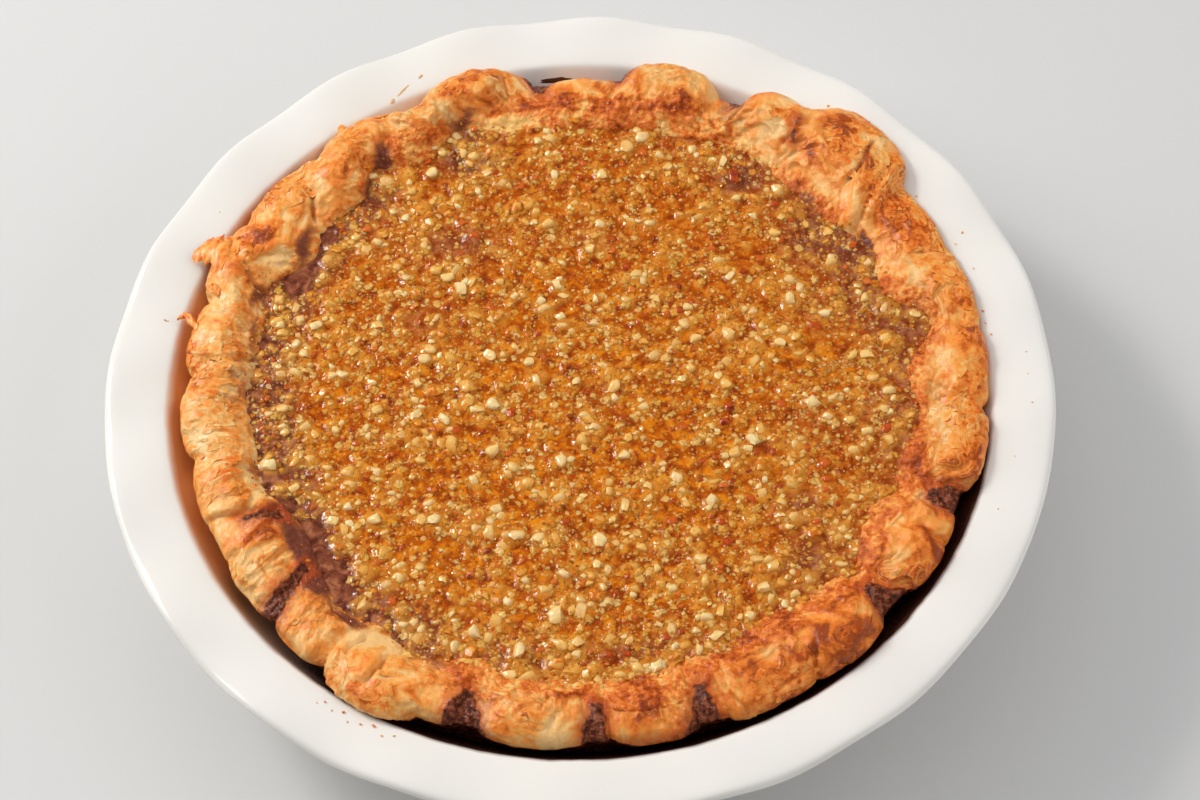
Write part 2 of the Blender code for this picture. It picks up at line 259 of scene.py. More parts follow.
# Painted bounce light: the wall on the left is tinted orange as if lit by the crust, with a little butter
# film.
on_left = add(tree, "MapRange", {0: x, 1: -55.0 * MM, 2: -95.0 * MM})
at_front = add(tree, "MapRange", {0: y, 1: -2.0 * MM, 2: -30.0 * MM})
over_lip = add(tree, "MapRange", {0: wavering, 1: 118.0 * MM, 2: 116.6 * MM})
over_lip = add(tree, "Math", {0: over_lip, 1: on_inside}, operation="MULTIPLY")
not_left = add(tree, "MapRange", {0: x, 1: -100.0 * MM, 2: -70.0 * MM})
butter_and_bounce = add(tree, "Math", {0: inside_well, 1: on_left}, operation="MULTIPLY")
# Painted shadow of the gap: under the front lip the wall is dark brown, with some syrup burned on.
scorch_and_shade = add(tree, "Math", {0: at_front, 1: not_left}, operation="MULTIPLY")
scorch_and_shade = add(tree, "Math", {0: scorch_and_shade, 1: over_lip}, operation="MULTIPLY")
butter = add(tree, "Mix", {0: runny, 6: "#EAAA74", 7: "#D68C52"}, 2, data_type="RGBA")
filmed = add(tree, "Mix", {0: butter_and_bounce, 6: tint, 7: butter}, 2, data_type="RGBA")
char_and_shadow = add(tree, "Mix", {0: scorch_and_shade, 6: filmed, 7: "#46261C"}, 2, data_type="RGBA")
bare_foot = add(tree, "MapRange", {0: height, 1: 0.7 * MM, 2: 0.2 * MM})
body = add(tree, "Mix", {0: bare_foot, 6: char_and_shadow, 7: "#D9CDB8"}, 2, data_type="RGBA")
gloss = add(tree, "MapRange", {0: bare_foot, 3: 0.14, 4: 0.8})
ripple = add(tree, "Bump", {"Strength": 0.06, "Distance": 0.4 * MM, "Height": pooling})
connect(tree, shader, Base_Color=body, Roughness=gloss, Normal=ripple)
finished(dish, "glazed_dish", glaze)
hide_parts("dish")

# -------------------------------------------------------------------------------------------- crust
# Flaky butter pastry: a thin case with its edge turned over into a thick roll and pinched between
# finger and thumb. It baked unevenly, so no two crimps are alike, and syrup boiled up into the dips.

CRUST_STEPS = 1080
RIM_HEIGHT = 46.4
FILL_LEVEL = 44.4
FILL_RADIUS = 93.0
PASTRY = 4.2
GAP = 0.35
ROLL = 8.8
ROLL_RADIUS = 105.0
LEAN_RADIUS = 113.0
CRIMPS = (  # bearing, half width in degrees, reach, rise over the rim, lean in degrees a millimetre
    (2.5, 5.5, 110.6, 2.6, 0), (16.5, 7.6, 117.4, 6.2, 0.1), (35, 7, 118.4, 5.8, 0.1),
    (47, 9.4, 124.6, 7.2, -0.35), (61.5, 6.8, 117, 3.9, -0.2), (75.5, 7.2, 117, 3.8, 0),
    (88.5, 7.2, 115.8, 3.9, 0), (103.5, 7, 115.4, 4.3, 0), (118, 3.4, 113.2, 3.9, 0),
    (123.8, 4.6, 113.6, 4.2, 0), (141, 7, 114.2, 4.6, 0), (154, 7, 114, 4.4, 0.15),
    (171, 6, 113.5, 3.6, 0), (188.5, 7.6, 113.4, 4.4, 0), (203, 4, 111.8, 3.1, 0),
    (212, 7.6, 117.2, 5, 0), (224.8, 5, 112.9, 4, 0), (236, 6, 112.2, 3.8, -0.2),
    (244.5, 4, 110.8, 3.2, 0), (252.8, 6.2, 111.4, 3.6, 0), (267.5, 7, 112.6, 3.8, 0.1),
    (281.5, 7, 112.4, 4, 0.3), (295, 7, 115.2, 4.7, 0.4), (310, 7.8, 114.2, 4.4, 0.45),
    (325.5, 7.6, 115, 5.4, 0.5), (345.5, 9, 116.6, 6.2, 0.75),
)
VALLEYS = (  # bearing, reach and rise that the dips between the crimps go down to
    (0, 109.3, 1), (10, 110, 1.2), (26.5, 110.6, 2.6), (41, 116.4, 4.2), (56, 115.6, 3),
    (69, 115.8, 2.7), (83, 115, 2.7), (98, 113, 2.7), (111, 110.8, 1.1), (120, 112, 2.8),
    (131, 110.4, 0.9), (148, 112, 3), (158, 112.2, 3), (165, 110.8, 1.3), (178, 111, 2),
    (197, 110, 1.2), (207, 110.4, 2.2), (219, 111, 2.6), (231, 110, 1.4), (241, 110.8, 2.4),
    (248, 110.2, 2.2), (259, 109.4, 2.6), (274, 109.6, 2.6), (288, 110.2, 2.6), (302, 111.4, 2.6),
    (317, 111.6, 2.6), (333, 111.6, 2.8), (354, 109, 1),
)
BAYS = (  # bearing, half width in degrees, how far the edge of the filling runs outwards
    (30, 17, 3.5), (62, 9, 4), (80, 9, 9.5), (98, 9, 3.5), (120, 8, -3), (130.5, 5, 3), (147, 11, -3.8),
    (163, 6, -3), (199, 5, -3), (209, 8, 2.4), (224, 8, 2.4), (241, 13, -4.2), (293, 7, 5),
    (303, 6, -2.6), (324, 5, 6.5), (341, 7, 6),
)
CREASES = (  # bearing and radius at the outer end, then at the inner end, half width, depth
    (49, 119, 51.5, 103, 0.9, 2.2), (53.5, 118.5, 57.5, 99, 0.9, 1), (59, 117, 60.5, 106, 0.7, 0.8),
    (69.5, 116, 68.5, 105, 0.7, 1.1), (84, 115, 85.5, 106, 0.7, 0.8),
    (97.5, 113.5, 98.5, 103, 0.8, 1.1), (119.6, 113, 119.4, 103, 0.7, 1.2),
    (147.5, 113, 145, 104, 0.8, 1.2), (158.5, 113.5, 157.5, 101, 0.7, 0.8),
    (177.5, 113, 178.5, 98, 0.8, 1), (212.5, 112, 212, 101, 0.8, 1.3), (218.5, 114, 217, 98, 0.8, 1),
    (241.5, 111, 244, 95, 0.7, 1.1), (248.5, 111, 246.5, 92, 0.8, 1.3), (260, 110, 257, 96, 0.7, 0.7),
    (274.5, 110, 278.5, 92, 0.9, 1.1), (296.5, 109, 292.5, 97, 0.9, 1.6),
    (313, 107, 309.5, 96, 0.9, 1.7), (333, 109, 328, 100, 0.9, 1.1), (38.5, 108, 37.5, 101, 0.7, 1),
)
FOLDS = (  # bearing and radius at the outer end, then at the inner end, half width, height
    (48.6, 118, 57, 95, 2.6, 1.3), (69, 113.5, 68.2, 104, 1.1, 0.5), (158.6, 114.5, 158, 99, 1.9, 0.7),
    (143.5, 111, 148.5, 101, 2.2, 0.6), (18, 113, 19.5, 103, 1.6, 0.5), (222.5, 112, 221, 99, 2, 0.6),
    (238.5, 110, 242.5, 98, 1.8, 0.6),
)
STAINS = (  # bearing, half width in degrees and radius, at the outer end and then at the inner end
    (112.6, 2.9, 116, 113.4, 1, 102.8), (131.6, 4.1, 116, 132.4, 0.9, 102),
    (165.2, 3.4, 117, 163.6, 0.8, 100.5), (173.5, 6.5, 118, 173.5, 4.5, 113.6),
    (180, 2.6, 117, 179.4, 0.7, 101.5), (197.6, 4.3, 116, 198.6, 0.9, 101.5),
    (230.4, 1.7, 112.5, 234, 1, 94), (246.2, 0.7, 100, 245.2, 1, 91.5),
    (355.8, 2.6, 112, 355.2, 0.8, 104.5), (8.6, 1.6, 111, 8.2, 0.8, 107.5),
    (27.2, 1.3, 108.5, 26.6, 0.7, 104.5), (37.6, 0.6, 109, 38.8, 0.7, 104),
)
# The dried syrup films are also painted darker where they lie in the hollows beside the roll, as shade
# there.
FILMS = (  # dried syrup on the inner slope: bearing, radius, half length, half width, lean, amount
    (303.5, 94, 8, 5, 0.8, 0.75), (323.5, 95.5, 4.6, 7, 0.5, 1.2), (341.5, 100.5, 6, 3.2, 0.9, 0.7),
    (291, 98, 5, 2, 0.8, 0.7), (283, 95, 9, 2.6, 0.5, 0.6), (272, 94.5, 6, 2.6, 0, 0.55),
    (264, 93.5, 5, 2, 0, 0.5), (255, 94, 6, 2.4, 0, 0.6), (246, 92, 5, 3.6, 0, 0.9),
    (238, 91, 7, 4.4, 0, 1.3), (231, 94, 6, 5, 0, 1.3), (222, 97, 7, 3, 0, 0.9),
    (206, 95.5, 7, 2.4, 0, 0.6), (188, 94, 6, 2.2, 0, 0.5), (79, 99, 7, 4.5, 0, 0.75),
    (61.5, 97, 5, 2, -0.8, 0.9), (47, 93, 9, 2.4, 0, 0.6), (98, 93.5, 8, 2.4, 0, 0.5),
    (19, 93.5, 6, 3, 0, 0.4), (36, 92, 7, 2, 0, 0.6),
)
TOASTED = (  # bearing, radius, half length, half width, lean, how much darker (or paler) it baked
    (302.5, 103.5, 7, 3.6, 0.5, 0.38), (298.5, 111, 5, 3, 0, 0.16), (276, 108.5, 6, 2.4, 0, 0.22),
    (290.5, 101, 8, 2.4, 0.8, 0.3), (325.5, 108.5, 5, 5, 0.5, 0.26), (339.5, 108.5, 7, 3.4, 0.8, 0.24),
    (341.5, 100.5, 7, 4, 0.9, 0.28), (353, 100.5, 7, 3.5, 0, 0.12), (347, 104, 5, 3, 0.5, 0.2),
    (3, 104, 10, 3.4, 0, 0.3), (22.5, 104.5, 6, 2.6, 0.3, 0.36), (35.5, 110.5, 5, 3.6, 0, 0.34),
    (38.4, 106, 1.8, 4, 0.1, 0.4), (43.6, 116.8, 4, 3, -0.3, 0.75), (57, 111.5, 4, 3.6, 0, 0.26),
    (64, 111, 9, 3.8, 0, 0.34), (62, 104.5, 8, 2, 0, 0.22), (79, 111.5, 8, 2.6, 0, 0.14),
    (92, 110, 4, 4, 0, 0.2), (105, 112.5, 5, 2.2, 0, 0.24), (121, 112.5, 7, 2.4, 0, 0.24),
    (145.5, 109.5, 6.5, 4, 0, 0.24), (153, 109, 4.5, 5, 0, 0.16), (141, 113, 8, 1.8, 0, 0.2),
    (171.5, 108, 6, 5, 0, 0.26), (188, 111.5, 5, 3, 0, 0.2), (205, 104, 7, 4, 0, 0.16),
    (228, 100, 4, 4, 0, 0.24), (243, 104, 2.2, 6, 0.2, 0.34), (256, 101.5, 5, 3, 0, 0.16),
    (158.6, 106.5, 2.2, 6, 0, -0.4), (148.5, 101.5, 7, 2.4, 0.2, -0.22), (102, 105, 9, 4, 0, -0.22),
    (123, 104.5, 7, 4, 0, -0.2), (185, 107.5, 4, 5, 0, -0.22), (237, 108, 6, 4, 0, -0.3),
    (260, 104.5, 9, 5, 0, -0.3), (279, 102.5, 6, 5, 0.3, -0.28), (332, 106.5, 5, 3.6, 0.3, -0.3),
    (349.5, 107, 3.6, 4, 0, -0.24), (15, 110.5, 6, 4, 0, -0.32), (33, 104, 6, 2.6, 0, -0.28),
    (51, 107.5, 2.6, 8, -0.4, -0.34), (71, 103.5, 13, 2.8, 0, -0.32), (88, 107, 9, 3, 0, -0.28),
)
WET_UP_TO = (  # bearing, and the radius up to which the inner slope is wet and rough with syrup
    (0, 104), (10, 101.5), (20, 103.5), (28, 102.5), (33, 99.5), (40, 98), (50, 97.5), (57, 95),
    (65, 98.5), (72, 99), (76, 103.5), (82, 103.5), (86, 99), (95, 98), (105, 98), (112, 102),
    (120, 98.5), (128, 101), (132, 103), (136, 101), (142, 99), (150, 99.5), (158, 97.5), (163, 102),
    (170, 109), (176, 107), (182, 99.5), (190, 98.5), (197, 101), (203, 97.5), (210, 95), (220, 95.5),
    (230, 97), (236, 94), (244, 97), (250, 92.5), (260, 91.5), (270, 91.5), (280, 92.5), (290, 96.5),
    (297, 95.5), (305, 97), (312, 94.5), (318, 93), (322, 99), (326, 101.5), (334, 101.5), (342, 100),
    (347, 101), (350, 103), (356, 104.5),
)


def turn(bearing, centre):
    """Degrees from centre to bearing, the short way round."""
    return (bearing - centre + 180.0) % 360.0 - 180.0


def by_table(bearing, table, column=1):
    """What a table of bearings says at each bearing, with straight lines between its rows."""
    return np.interp(bearing, [row[0] for row in table], [row[column] for row in table], period=360.0)


def lobe(offset, half_width):
    share = np.abs(offset) / half_width
    return np.where(share < 1.0, (1.0 - np.minimum(share, 1.0) ** 2.4) ** 0.6, 0.0)


def swell(share):
    """A smooth bump that is 1 at 0 and 0 from 1 on."""
    return 0.5 + 0.5 * np.cos(np.pi * np.clip(np.abs(share), 0.0, 1.0))


def smooth_step(value, low, high):
    share = np.clip((value - low) / (high - low), 0.0, 1.0)
    return share * share * (3.0 - 2.0 * share)


def crimp(bearing, radius, column):
    """The pinched edge's reach (column 2) or rise (column 3)."""
    base = by_table(bearing, VALLEYS, column - 1)
    most = np.zeros_like(bearing)
    for made in CRIMPS:
        middle = made[0] - made[4] * (LEAN_RADIUS - radius)
        most = np.maximum(most, (made[column] - base) * lobe(turn(bearing, middle), made[1]))
    return base + most


def fill_radius(bearing):
    radius = np.full_like(bearing, FILL_RADIUS)
    for middle, half_width, depth in BAYS:
        radius = radius + depth * swell(turn(bearing, middle) / half_width)
    return radius


def ridge_height(bearing, radius):
    return RIM_HEIGHT + crimp(bearing, radius, 3)


def air_gap(bearing):
    """How far the baked roll has shrunk away from the wall of the dish."""
    return 0.3 + 2.4 * smooth_step(bearing, 88.0, 112.0) * (1.0 - smooth_step(bearing, 318.0, 334.0))


def edge_keys(bearing):
    """The pastry edge's outline at each bearing, as rows of radii and heights that a curve follows."""
    outside = crimp(bearing, LEAN_RADIUS, 2)
    over = np.clip((outside - 114.0) / 2.0, 0.0, 1.0)
    inside = fill_radius(bearing)
    ridge = outside - ROLL - 2.5 * np.clip((outside - 117.0) / 5.0, 0.0, 1.0)
    belly = mix(45.2, flange_top(outside) + 1.3, over)
    top = ridge_height(bearing, ridge)
    gap = air_gap(bearing)
    keys = [
        (np.minimum(float(well_radius(35.0)) - gap, outside - 1.6), np.full_like(bearing, 35.0)),
        (np.minimum(WELL_TOP[0] - 0.6 - gap, outside - 0.9), np.full_like(bearing, 41.6)),
        (np.minimum(MOUTH_RADIUS - 1.6 - 0.7 * gap, outside - 0.25), mix(43.7, 45.9, over)),
    ]
    for angle in (0.0, 34.0, 62.0, 90.0):
        swing = math.radians(angle)
        keys.append((mix(ridge, outside, math.cos(swing)), mix(belly, top, math.sin(swing))))
    for share in (0.22, 0.46, 0.74):
        radius = mix(ridge, inside, share)
        keys.append((radius, mix(FILL_LEVEL + 0.5, ridge_height(bearing, radius), 1.0 - share**1.7)))
    keys.append((inside - 0.4, np.full_like(bearing, FILL_LEVEL + 0.2)))
    keys.append((inside - 1.2, np.full_like(bearing, FILL_LEVEL - 3.0)))
    return keys


def through(keys, spans):
    """Rows of points on a smooth curve through the keys, with so many rows in each span."""
    keys = np.array(keys)
    rows = []
    for i, span in enumerate(spans):
        before, start, end, after = (keys[min(max(i + k, 0), len(keys) - 1)] for k in (-1, 0, 1, 2))
        for j in range(span):
            t = j / span
            squared = 2 * before - 5 * start + 4 * end - after
            cubed = 3 * start - before - 3 * end + after
            rows.append(0.5 * (2 * start + (end - before) * t + squared * t**2 + cubed * t**3))
    rows.append(keys[-1])
    return rows


bearings = np.arange(CRUST_STEPS) * 360.0 / CRUST_STEPS
ones = np.ones(CRUST_STEPS)


def round_rows(outline, spans):
    """Plain rows for the hidden parts: straight stretches between round rings."""
    rows = []
    for (r0, z0), (r1, z1), span in zip(outline, outline[1:], spans):
        rows += [(mix(r0, r1, j / span) * ones, mix(z0, z1, j / span) * ones) for j in range(span)]
    return rows


under_rows = round_rows(
    ((0.0, WELL_FLOOR + GAP), (WELL_FOOT[0] - 3.6, WELL_FLOOR + GAP),
     (WELL_FOOT[0] - 0.5, WELL_FOOT[1] + 0.2), (float(well_radius(31.0)) - GAP - 0.15, 31.0),
     (float(well_radius(33.0)) - 1.6, 33.0)),
    (2, 1, 2, 1),
)
edge_rows = through(edge_keys(bearings), (2, 3, 4, 7, 7, 8, 9, 9, 10, 10, 3))
inner_rows = round_rows(
    ((float(well_radius(36.0)) - PASTRY - 3.0, 37.0), (float(well_radius(35.0)) - PASTRY - 1.5, 35.0),
     (float(well_radius(12.5)) - PASTRY, 12.5), (WELL_FOOT[0] - 3.4 - PASTRY, WELL_FLOOR + GAP + PASTRY),
     (0.0, WELL_FLOOR + GAP + PASTRY)),
    (1, 2, 1, 2),
) + [(0.0 * ones, (WELL_FLOOR + GAP + PASTRY) * ones)]
all_rows = np.array(under_rows + edge_rows + inner_rows)  # row, radius or height, bearing
ROWS = len(all_rows) - 1
first_edge_row = len(under_rows)
last_edge_row = first_edge_row + len(edge_rows) - 1
sin = np.sin(np.radians(bearings))
cos = np.cos(np.radians(bearings))
smooth_grid = np.stack([all_rows[:, 0] * sin, all_rows[:, 0] * cos, all_rows[:, 1]], axis=-1)
across = np.cumsum(np.linalg.norm(np.diff(smooth_grid, axis=0, prepend=smooth_grid[:1]), axis=-1), axis=0)

# How much of the relief each row takes: none where the pastry meets the dish or the filling.
edge_share = (np.arange(ROWS + 1) - first_edge_row) / (last_edge_row - first_edge_row)
relief_share = np.clip(np.minimum((edge_share - 0.03) / 0.12, (0.985 - edge_share) / 0.04), 0.0, 1.0)


def each(rows, value):
    """value(place) at every point of the visible rows."""
    found = np.zeros(rows.shape[:2])
    for i in range(rows.shape[0]):
        if relief_share[i] > 0.0:
            found[i] = [value(Vector(p)) for p in rows[i].tolist()]
    return found


def drift(place):
    """Three smoothly changing values from -1 to 1, each from its own part of the noise."""
    return Vector([noise.noise(place + Vector((17.3 * k, 4.1, 9.7 * k))) for k in range(3)])


def warped(place):
    return place + 3.2 * drift(place / 12.0) + 1.1 * drift(place / 4.5)


# The layers of the dough follow the roll. They run along it, or across it where fingers dragged it.
dragged = np.clip(1.0 * swell(turn(bearings, 250.0) / 48.0) + 0.8 * swell(turn(bearings, 172.0) / 16.0)
                  + 0.6 * swell(turn(bearings, 350.0) / 35.0), 0.0, 1.0)
along_step = mix(1.0 / 11.0, 1.0 / 3.0, dragged)[None, :]
across_step = mix(1.0 / 3.6, 1.0 / 11.0, dragged)[None, :]
rolled = np.stack(np.broadcast_arrays(ROLL_RADIUS * sin * along_step, ROLL_RADIUS * cos * along_step,
                                      across * across_step), axis=-1)
wander = np.stack([each(smooth_grid, lambda p, k=k: noise.noise(p / 6.0 + Vector((31.0 * k, 7.0, 2.0 * k))))
                   for k in range(3)], axis=-1)

lumps = each(smooth_grid, lambda p: noise.noise(p / 11.0) + 0.5 * noise.noise(warped(p) / 5.0))
patchy = each(smooth_grid, lambda p: noise.noise(p / 15.0 + Vector((9.0, 0.0, 3.0))))
fine = each(smooth_grid, lambda p: noise.noise(warped(p) / 1.7))
porous = each(smooth_grid,
              lambda p: noise.noise(p / 1.25 + Vector((0.0, 5.0, 0.0))) + 0.7 * noise.noise(p / 2.6))
layering = each(rolled + 1.1 * wander, lambda p: noise.noise(p) + 0.35 * noise.noise(2.3 * p))
folds = each(smooth_grid, lambda p: abs(noise.noise(warped(p) / 8.0 + Vector((4.0, 4.0, 0.0)))))
flakiness = np.interp(bearings, (0, 30, 60, 75, 110, 118, 160, 180, 200, 240, 330, 360),
                      (0.5, 0.5, 0.55, 0.7, 0.6, 0.5, 0.55, 0.4, 0.5, 0.6, 0.65, 0.5))
flaky = np.clip(0.1 + 0.75 * flakiness[None, :] + 1.1 * patchy, 0.08, 1.0)
TERRACES = 4.0  # steps to a whole swing of the layers
levels = TERRACES * layering
terraces = np.floor(levels) + smooth_step(levels - np.floor(levels), 0.5, 1.0)

radius_grid = all_rows[:, 0]
side_warp = 1.6 * wander[..., 0] + 0.9 * fine
up_warp = 1.4 * wander[..., 1] + 0.7 * porous
inner_side = (edge_share > 0.4)[:, None]


def line_offset(outer_bearing, outer, inner_bearing, inner):
    """How far each point is to the side of a slanted line in mm, and how much of the line passes it."""
    share = np.clip((outer - radius_grid) / (outer - inner), 0.0, 1.0)
    middle = outer_bearing + share * turn(inner_bearing, outer_bearing) + 1.0 * wander[..., 0]
    ends = np.clip(np.minimum(outer + 1.5 - radius_grid, radius_grid - inner + 1.5) / 3.0, 0.0, 1.0)
    return np.radians(turn(bearings[None, :], middle)) * ROLL_RADIUS, ends


crease_depth = np.zeros(smooth_grid.shape[:2])
for outer_bearing, outer, inner_bearing, inner, half_width, depth in CREASES:
    off, ends = line_offset(outer_bearing, outer, inner_bearing, inner)
    crease_depth += depth * ends * np.exp(-((off / half_width) ** 2))
    crease_depth -= 0.3 * depth * ends * np.exp(-(((off - 2.2 * half_width) / (1.6 * half_width)) ** 2))
fold_height = np.zeros(smooth_grid.shape[:2])
for outer_bearing, outer, inner_bearing, inner, half_width, rise in FOLDS:
    off, ends = line_offset(outer_bearing, outer, inner_bearing, inner)
    fold_height += rise * smooth_step(ends, 0.0, 1.0) * lobe(off, half_width)
cracks = np.clip(1.0 - folds / 0.05, 0.0, 1.0) * np.clip(0.2 + 2.0 * patchy, 0.0, 1.0)

# Where the inner slope is wet with syrup, where a film of it has dried (painted darker in the hollows
# as shade too), where it burned on, and where the foot of the roll is painted dark as shadow in the gap.


def blobs(table):
    """The sum of soft uneven patches, each with its middle, its size along and across, and its amount."""
    total = np.zeros(smooth_grid.shape[:2])
    for bearing, radius, half_length, half_width, lean, amount in table:
        up = radius_grid - radius + up_warp
        side = np.radians(turn(bearings[None, :], bearing + lean * up)) * radius + side_warp
        total += amount * np.exp(-((side / half_length) ** 2) - (up / half_width) ** 2)
    return total


wetted_up = by_table(bearings, WET_UP_TO)[None, :] + 2.0 * lumps + 1.4 * patchy + 0.8 * porous
wet = smooth_step(wetted_up - radius_grid, -1.0, 1.6) * inner_side
film = smooth_step(blobs(FILMS) + 0.12 * lumps, 0.22, 0.75) * inner_side
burnt_in = np.full(smooth_grid.shape[:2], -9.0)
for outer_bearing, outer_half, outer, inner_bearing, inner_half, inner in STAINS:
    share = np.clip((outer - radius_grid) / (outer - inner), 0.0, 1.0)
    middle = outer_bearing + share * turn(inner_bearing, outer_bearing) + 0.4 * wander[..., 2]
    half = mix(outer_half, inner_half, share)
    to_side = np.radians(half - np.abs(turn(bearings[None, :], middle))) * ROLL_RADIUS
    to_end = np.minimum(radius_grid - inner, outer - radius_grid + 3.0)
    burnt_in = np.maximum(burnt_in, np.minimum(to_side, to_end))
# The foot of the roll that faces the dish is painted dark along with the burned-on syrup: painted shadow in
# the gap.
facing = smooth_step(bearings, 92.0, 108.0) * (1.0 - smooth_step(bearings, 232.0, 256.0))
low_down = smooth_step(44.9 + 0.8 * patchy - all_rows[:, 1], -0.6, 0.9)
outer_side = (edge_share < 0.5)[:, None]
burnt_in = burnt_in + 0.9 * lumps + 0.8 * fine + 0.5 * porous
facing_dish = outer_side * facing[None, :]
burnt_and_gap_shade = np.maximum(smooth_step(burnt_in, -1.0, 1.2), facing_dish * low_down)
singe = np.maximum(smooth_step(burnt_in, -3.6, 0.2), facing_dish * smooth_step(low_down, 0.0, 0.3))
dry = 1.0 - np.maximum(np.maximum(wet, film), burnt_and_gap_shade)

relief = (0.85 * lumps + 0.27 * flaky * terraces * (0.3 + 0.7 * dry) + 0.6 * np.minimum(folds, 0.35)
          - 0.4 * cracks + 0.11 * fine + 0.65 * wet * (1.0 - film) * porous + 0.22 * burnt_and_gap_shade * porous
          - crease_depth + fold_height - 0.1)
down = np.gradient(smooth_grid, axis=0)
round_about = np.roll(smooth_grid, -1, axis=1) - np.roll(smooth_grid, 1, axis=1)
outward = np.cross(round_about, down)
outward /= np.maximum(np.linalg.norm(outward, axis=-1, keepdims=True), 1e-9)
if outward[(first_edge_row + last_edge_row) // 2, 0, 2] < 0.0:
    outward = -outward
grid = smooth_grid + outward * (relief * relief_share[:, None])[..., None]
crust_limit = max(corner[2] for corner in cad_box) / MM - 0.5
EASED = 1.5  # mm under the limit, from where the height closes in on it
over_ease = grid[..., 2] - crust_limit + EASED
grid[..., 2] = np.where(over_ease > 0.0, crust_limit - EASED * np.exp(-over_ease / EASED), grid[..., 2])


def paint(piece, name, values):
    """Keeps one value a vertex on the piece, for its material to read."""
    layer = piece.data.attributes.new(name, "FLOAT", "POINT")
    layer.data.foreach_set("value", np.asarray(values, np.float32))


bpy.ops.mesh.primitive_grid_add(x_subdivisions=CRUST_STEPS, y_subdivisions=ROWS, size=2.0)
crust = bpy.context.object
spots = places(crust) * MM
step_of = np.rint((spots[:, 0] + 1.0) / 2.0 * CRUST_STEPS).astype(int) % CRUST_STEPS
row_of = np.rint((spots[:, 1] + 1.0) / 2.0 * ROWS).astype(int)
place(crust, grid[row_of, step_of])

height_over = grid[..., 2] - RIM_HEIGHT
# How toasted the pastry is round the pie; the front and right of the roll, which face away from the light,
# are painted darker as shade too.
toast_and_shade_by_bearing = np.interp(bearings,
                       (0, 40, 60, 75, 105, 125, 150, 170, 185, 215, 235, 262, 290, 310, 335, 360),
                       (0.4, 0.42, 0.5, 0.54, 0.54, 0.62, 0.66, 0.56, 0.36, 0.34, 0.37, 0.38, 0.38, 0.38,
                        0.36, 0.4))
toast_and_shade = toast_and_shade_by_bearing[None, :] + blobs(TOASTED) + 0.02 * (height_over - 2.5) + 0.26 * lumps + 0.14 * patchy
# Creases and cracks, painted darker as shade in them.
crease_and_crack_shade = np.clip(0.4 * crease_depth + 0.6 * cracks, 0.0, 1.0)
for name, field in (("burnt_and_gap_shade", burnt_and_gap_shade), ("singe", singe), ("wet", wet), ("film", film), ("toast_and_shade", toast_and_shade),
                    ("layering", layering), ("flaky", flaky * dry), ("crack_shade", crease_and_crack_shade)):
    paint(crust, name, field[row_of, step_of])
bpy.ops.object.mode_set(mode="EDIT")
bpy.ops.mesh.select_all(action="SELECT")
bpy.ops.mesh.remove_doubles(threshold=0.001 * MM)
close_up(crust)

# Baked butter pastry: satin and a little see-through where it is thin, from wheat to orange-brown as it
# caught the heat, and painted darker as shade on the front and right of the roll, which face away from
# the light. The inner slope is wet and porous with syrup, and a brown film has dried in its hollows,
# painted darker there as shade as well. The syrup that boiled over between the crimps has burned on,
# dark and glossy, and the foot of the roll is painted dark as the shadow in the gap at the dish. Each
# layer's top edge has a painted highlight with painted shade under it, and creases and cracks are
# painted darker as shade.
pastry, tree, shader = new_material("baked_butter_pastry", IOR=1.45, Subsurface_Weight=0.15,
                                    Subsurface_Scale=0.002, Subsurface_Radius=(1.0, 0.45, 0.2))
object_place = add(tree, "TexCoord", output="Object")
toast_and_shade_here, wet_here, film_here, burnt_and_shade_here, singe_here, crack_shade_here, layers_here, flaky_here = (
    add(tree, "Attribute", output="Fac", attribute_name=name)
    for name in ("toast_and_shade", "wet", "film", "burnt_and_gap_shade", "singe", "crack_shade", "layering", "flaky"))
blister = add(tree, "TexNoise",
              {"Vector": object_place, "Scale": per_mm(7.0), "Detail": 3.5, "Distortion": 0.8})
speck = add(tree, "TexNoise", {"Vector": object_place, "Scale": per_mm(1.4), "Detail": 3.0})
grit = add(tree, "TexNoise", {"Vector": object_place, "Scale": per_mm(0.5), "Detail": 2.0})
ragged = add(tree, "MapRange", {0: speck, 1: 0.3, 2: 0.7, 3: -0.3, 4: 0.3})
sheet = add(tree, "Math", {0: layers_here, 1: 8.0, 2: ragged}, operation="MULTIPLY_ADD")
sheet_number = add(tree, "Math", {0: sheet}, operation="FLOOR")
sheet_part = add(tree, "Math", {0: sheet}, operation="FRACT")
sheet_tone = add(tree, "TexWhiteNoise", {"W": sheet_number}, noise_dimensions="1D")
by_blister = add(tree, "MapRange", {0: blister, 1: 0.3, 2: 0.7, 3: -0.42, 4: 0.42})
by_speck = add(tree, "MapRange", {0: speck, 1: 0.3, 2: 0.7, 3: -0.08, 4: 0.08})
by_sheet = add(tree, "MapRange", {0: sheet_tone, 3: -0.24, 4: 0.24})
by_sheet = add(tree, "Math", {0: by_sheet, 1: flaky_here}, operation="MULTIPLY")
toasted = toast_and_shade_here
for more in (by_blister, by_speck, by_sheet):
    toasted = add(tree, "Math", {0: toasted, 1: more}, operation="ADD")
baked = add(tree, "ValToRGB", {0: toasted}, stops=(
    (0.0, "#FFCC86"), (0.25, "#FFB560"), (0.5, "#FC983E"), (0.75, "#E47420"), (1.0, "#A04414")))
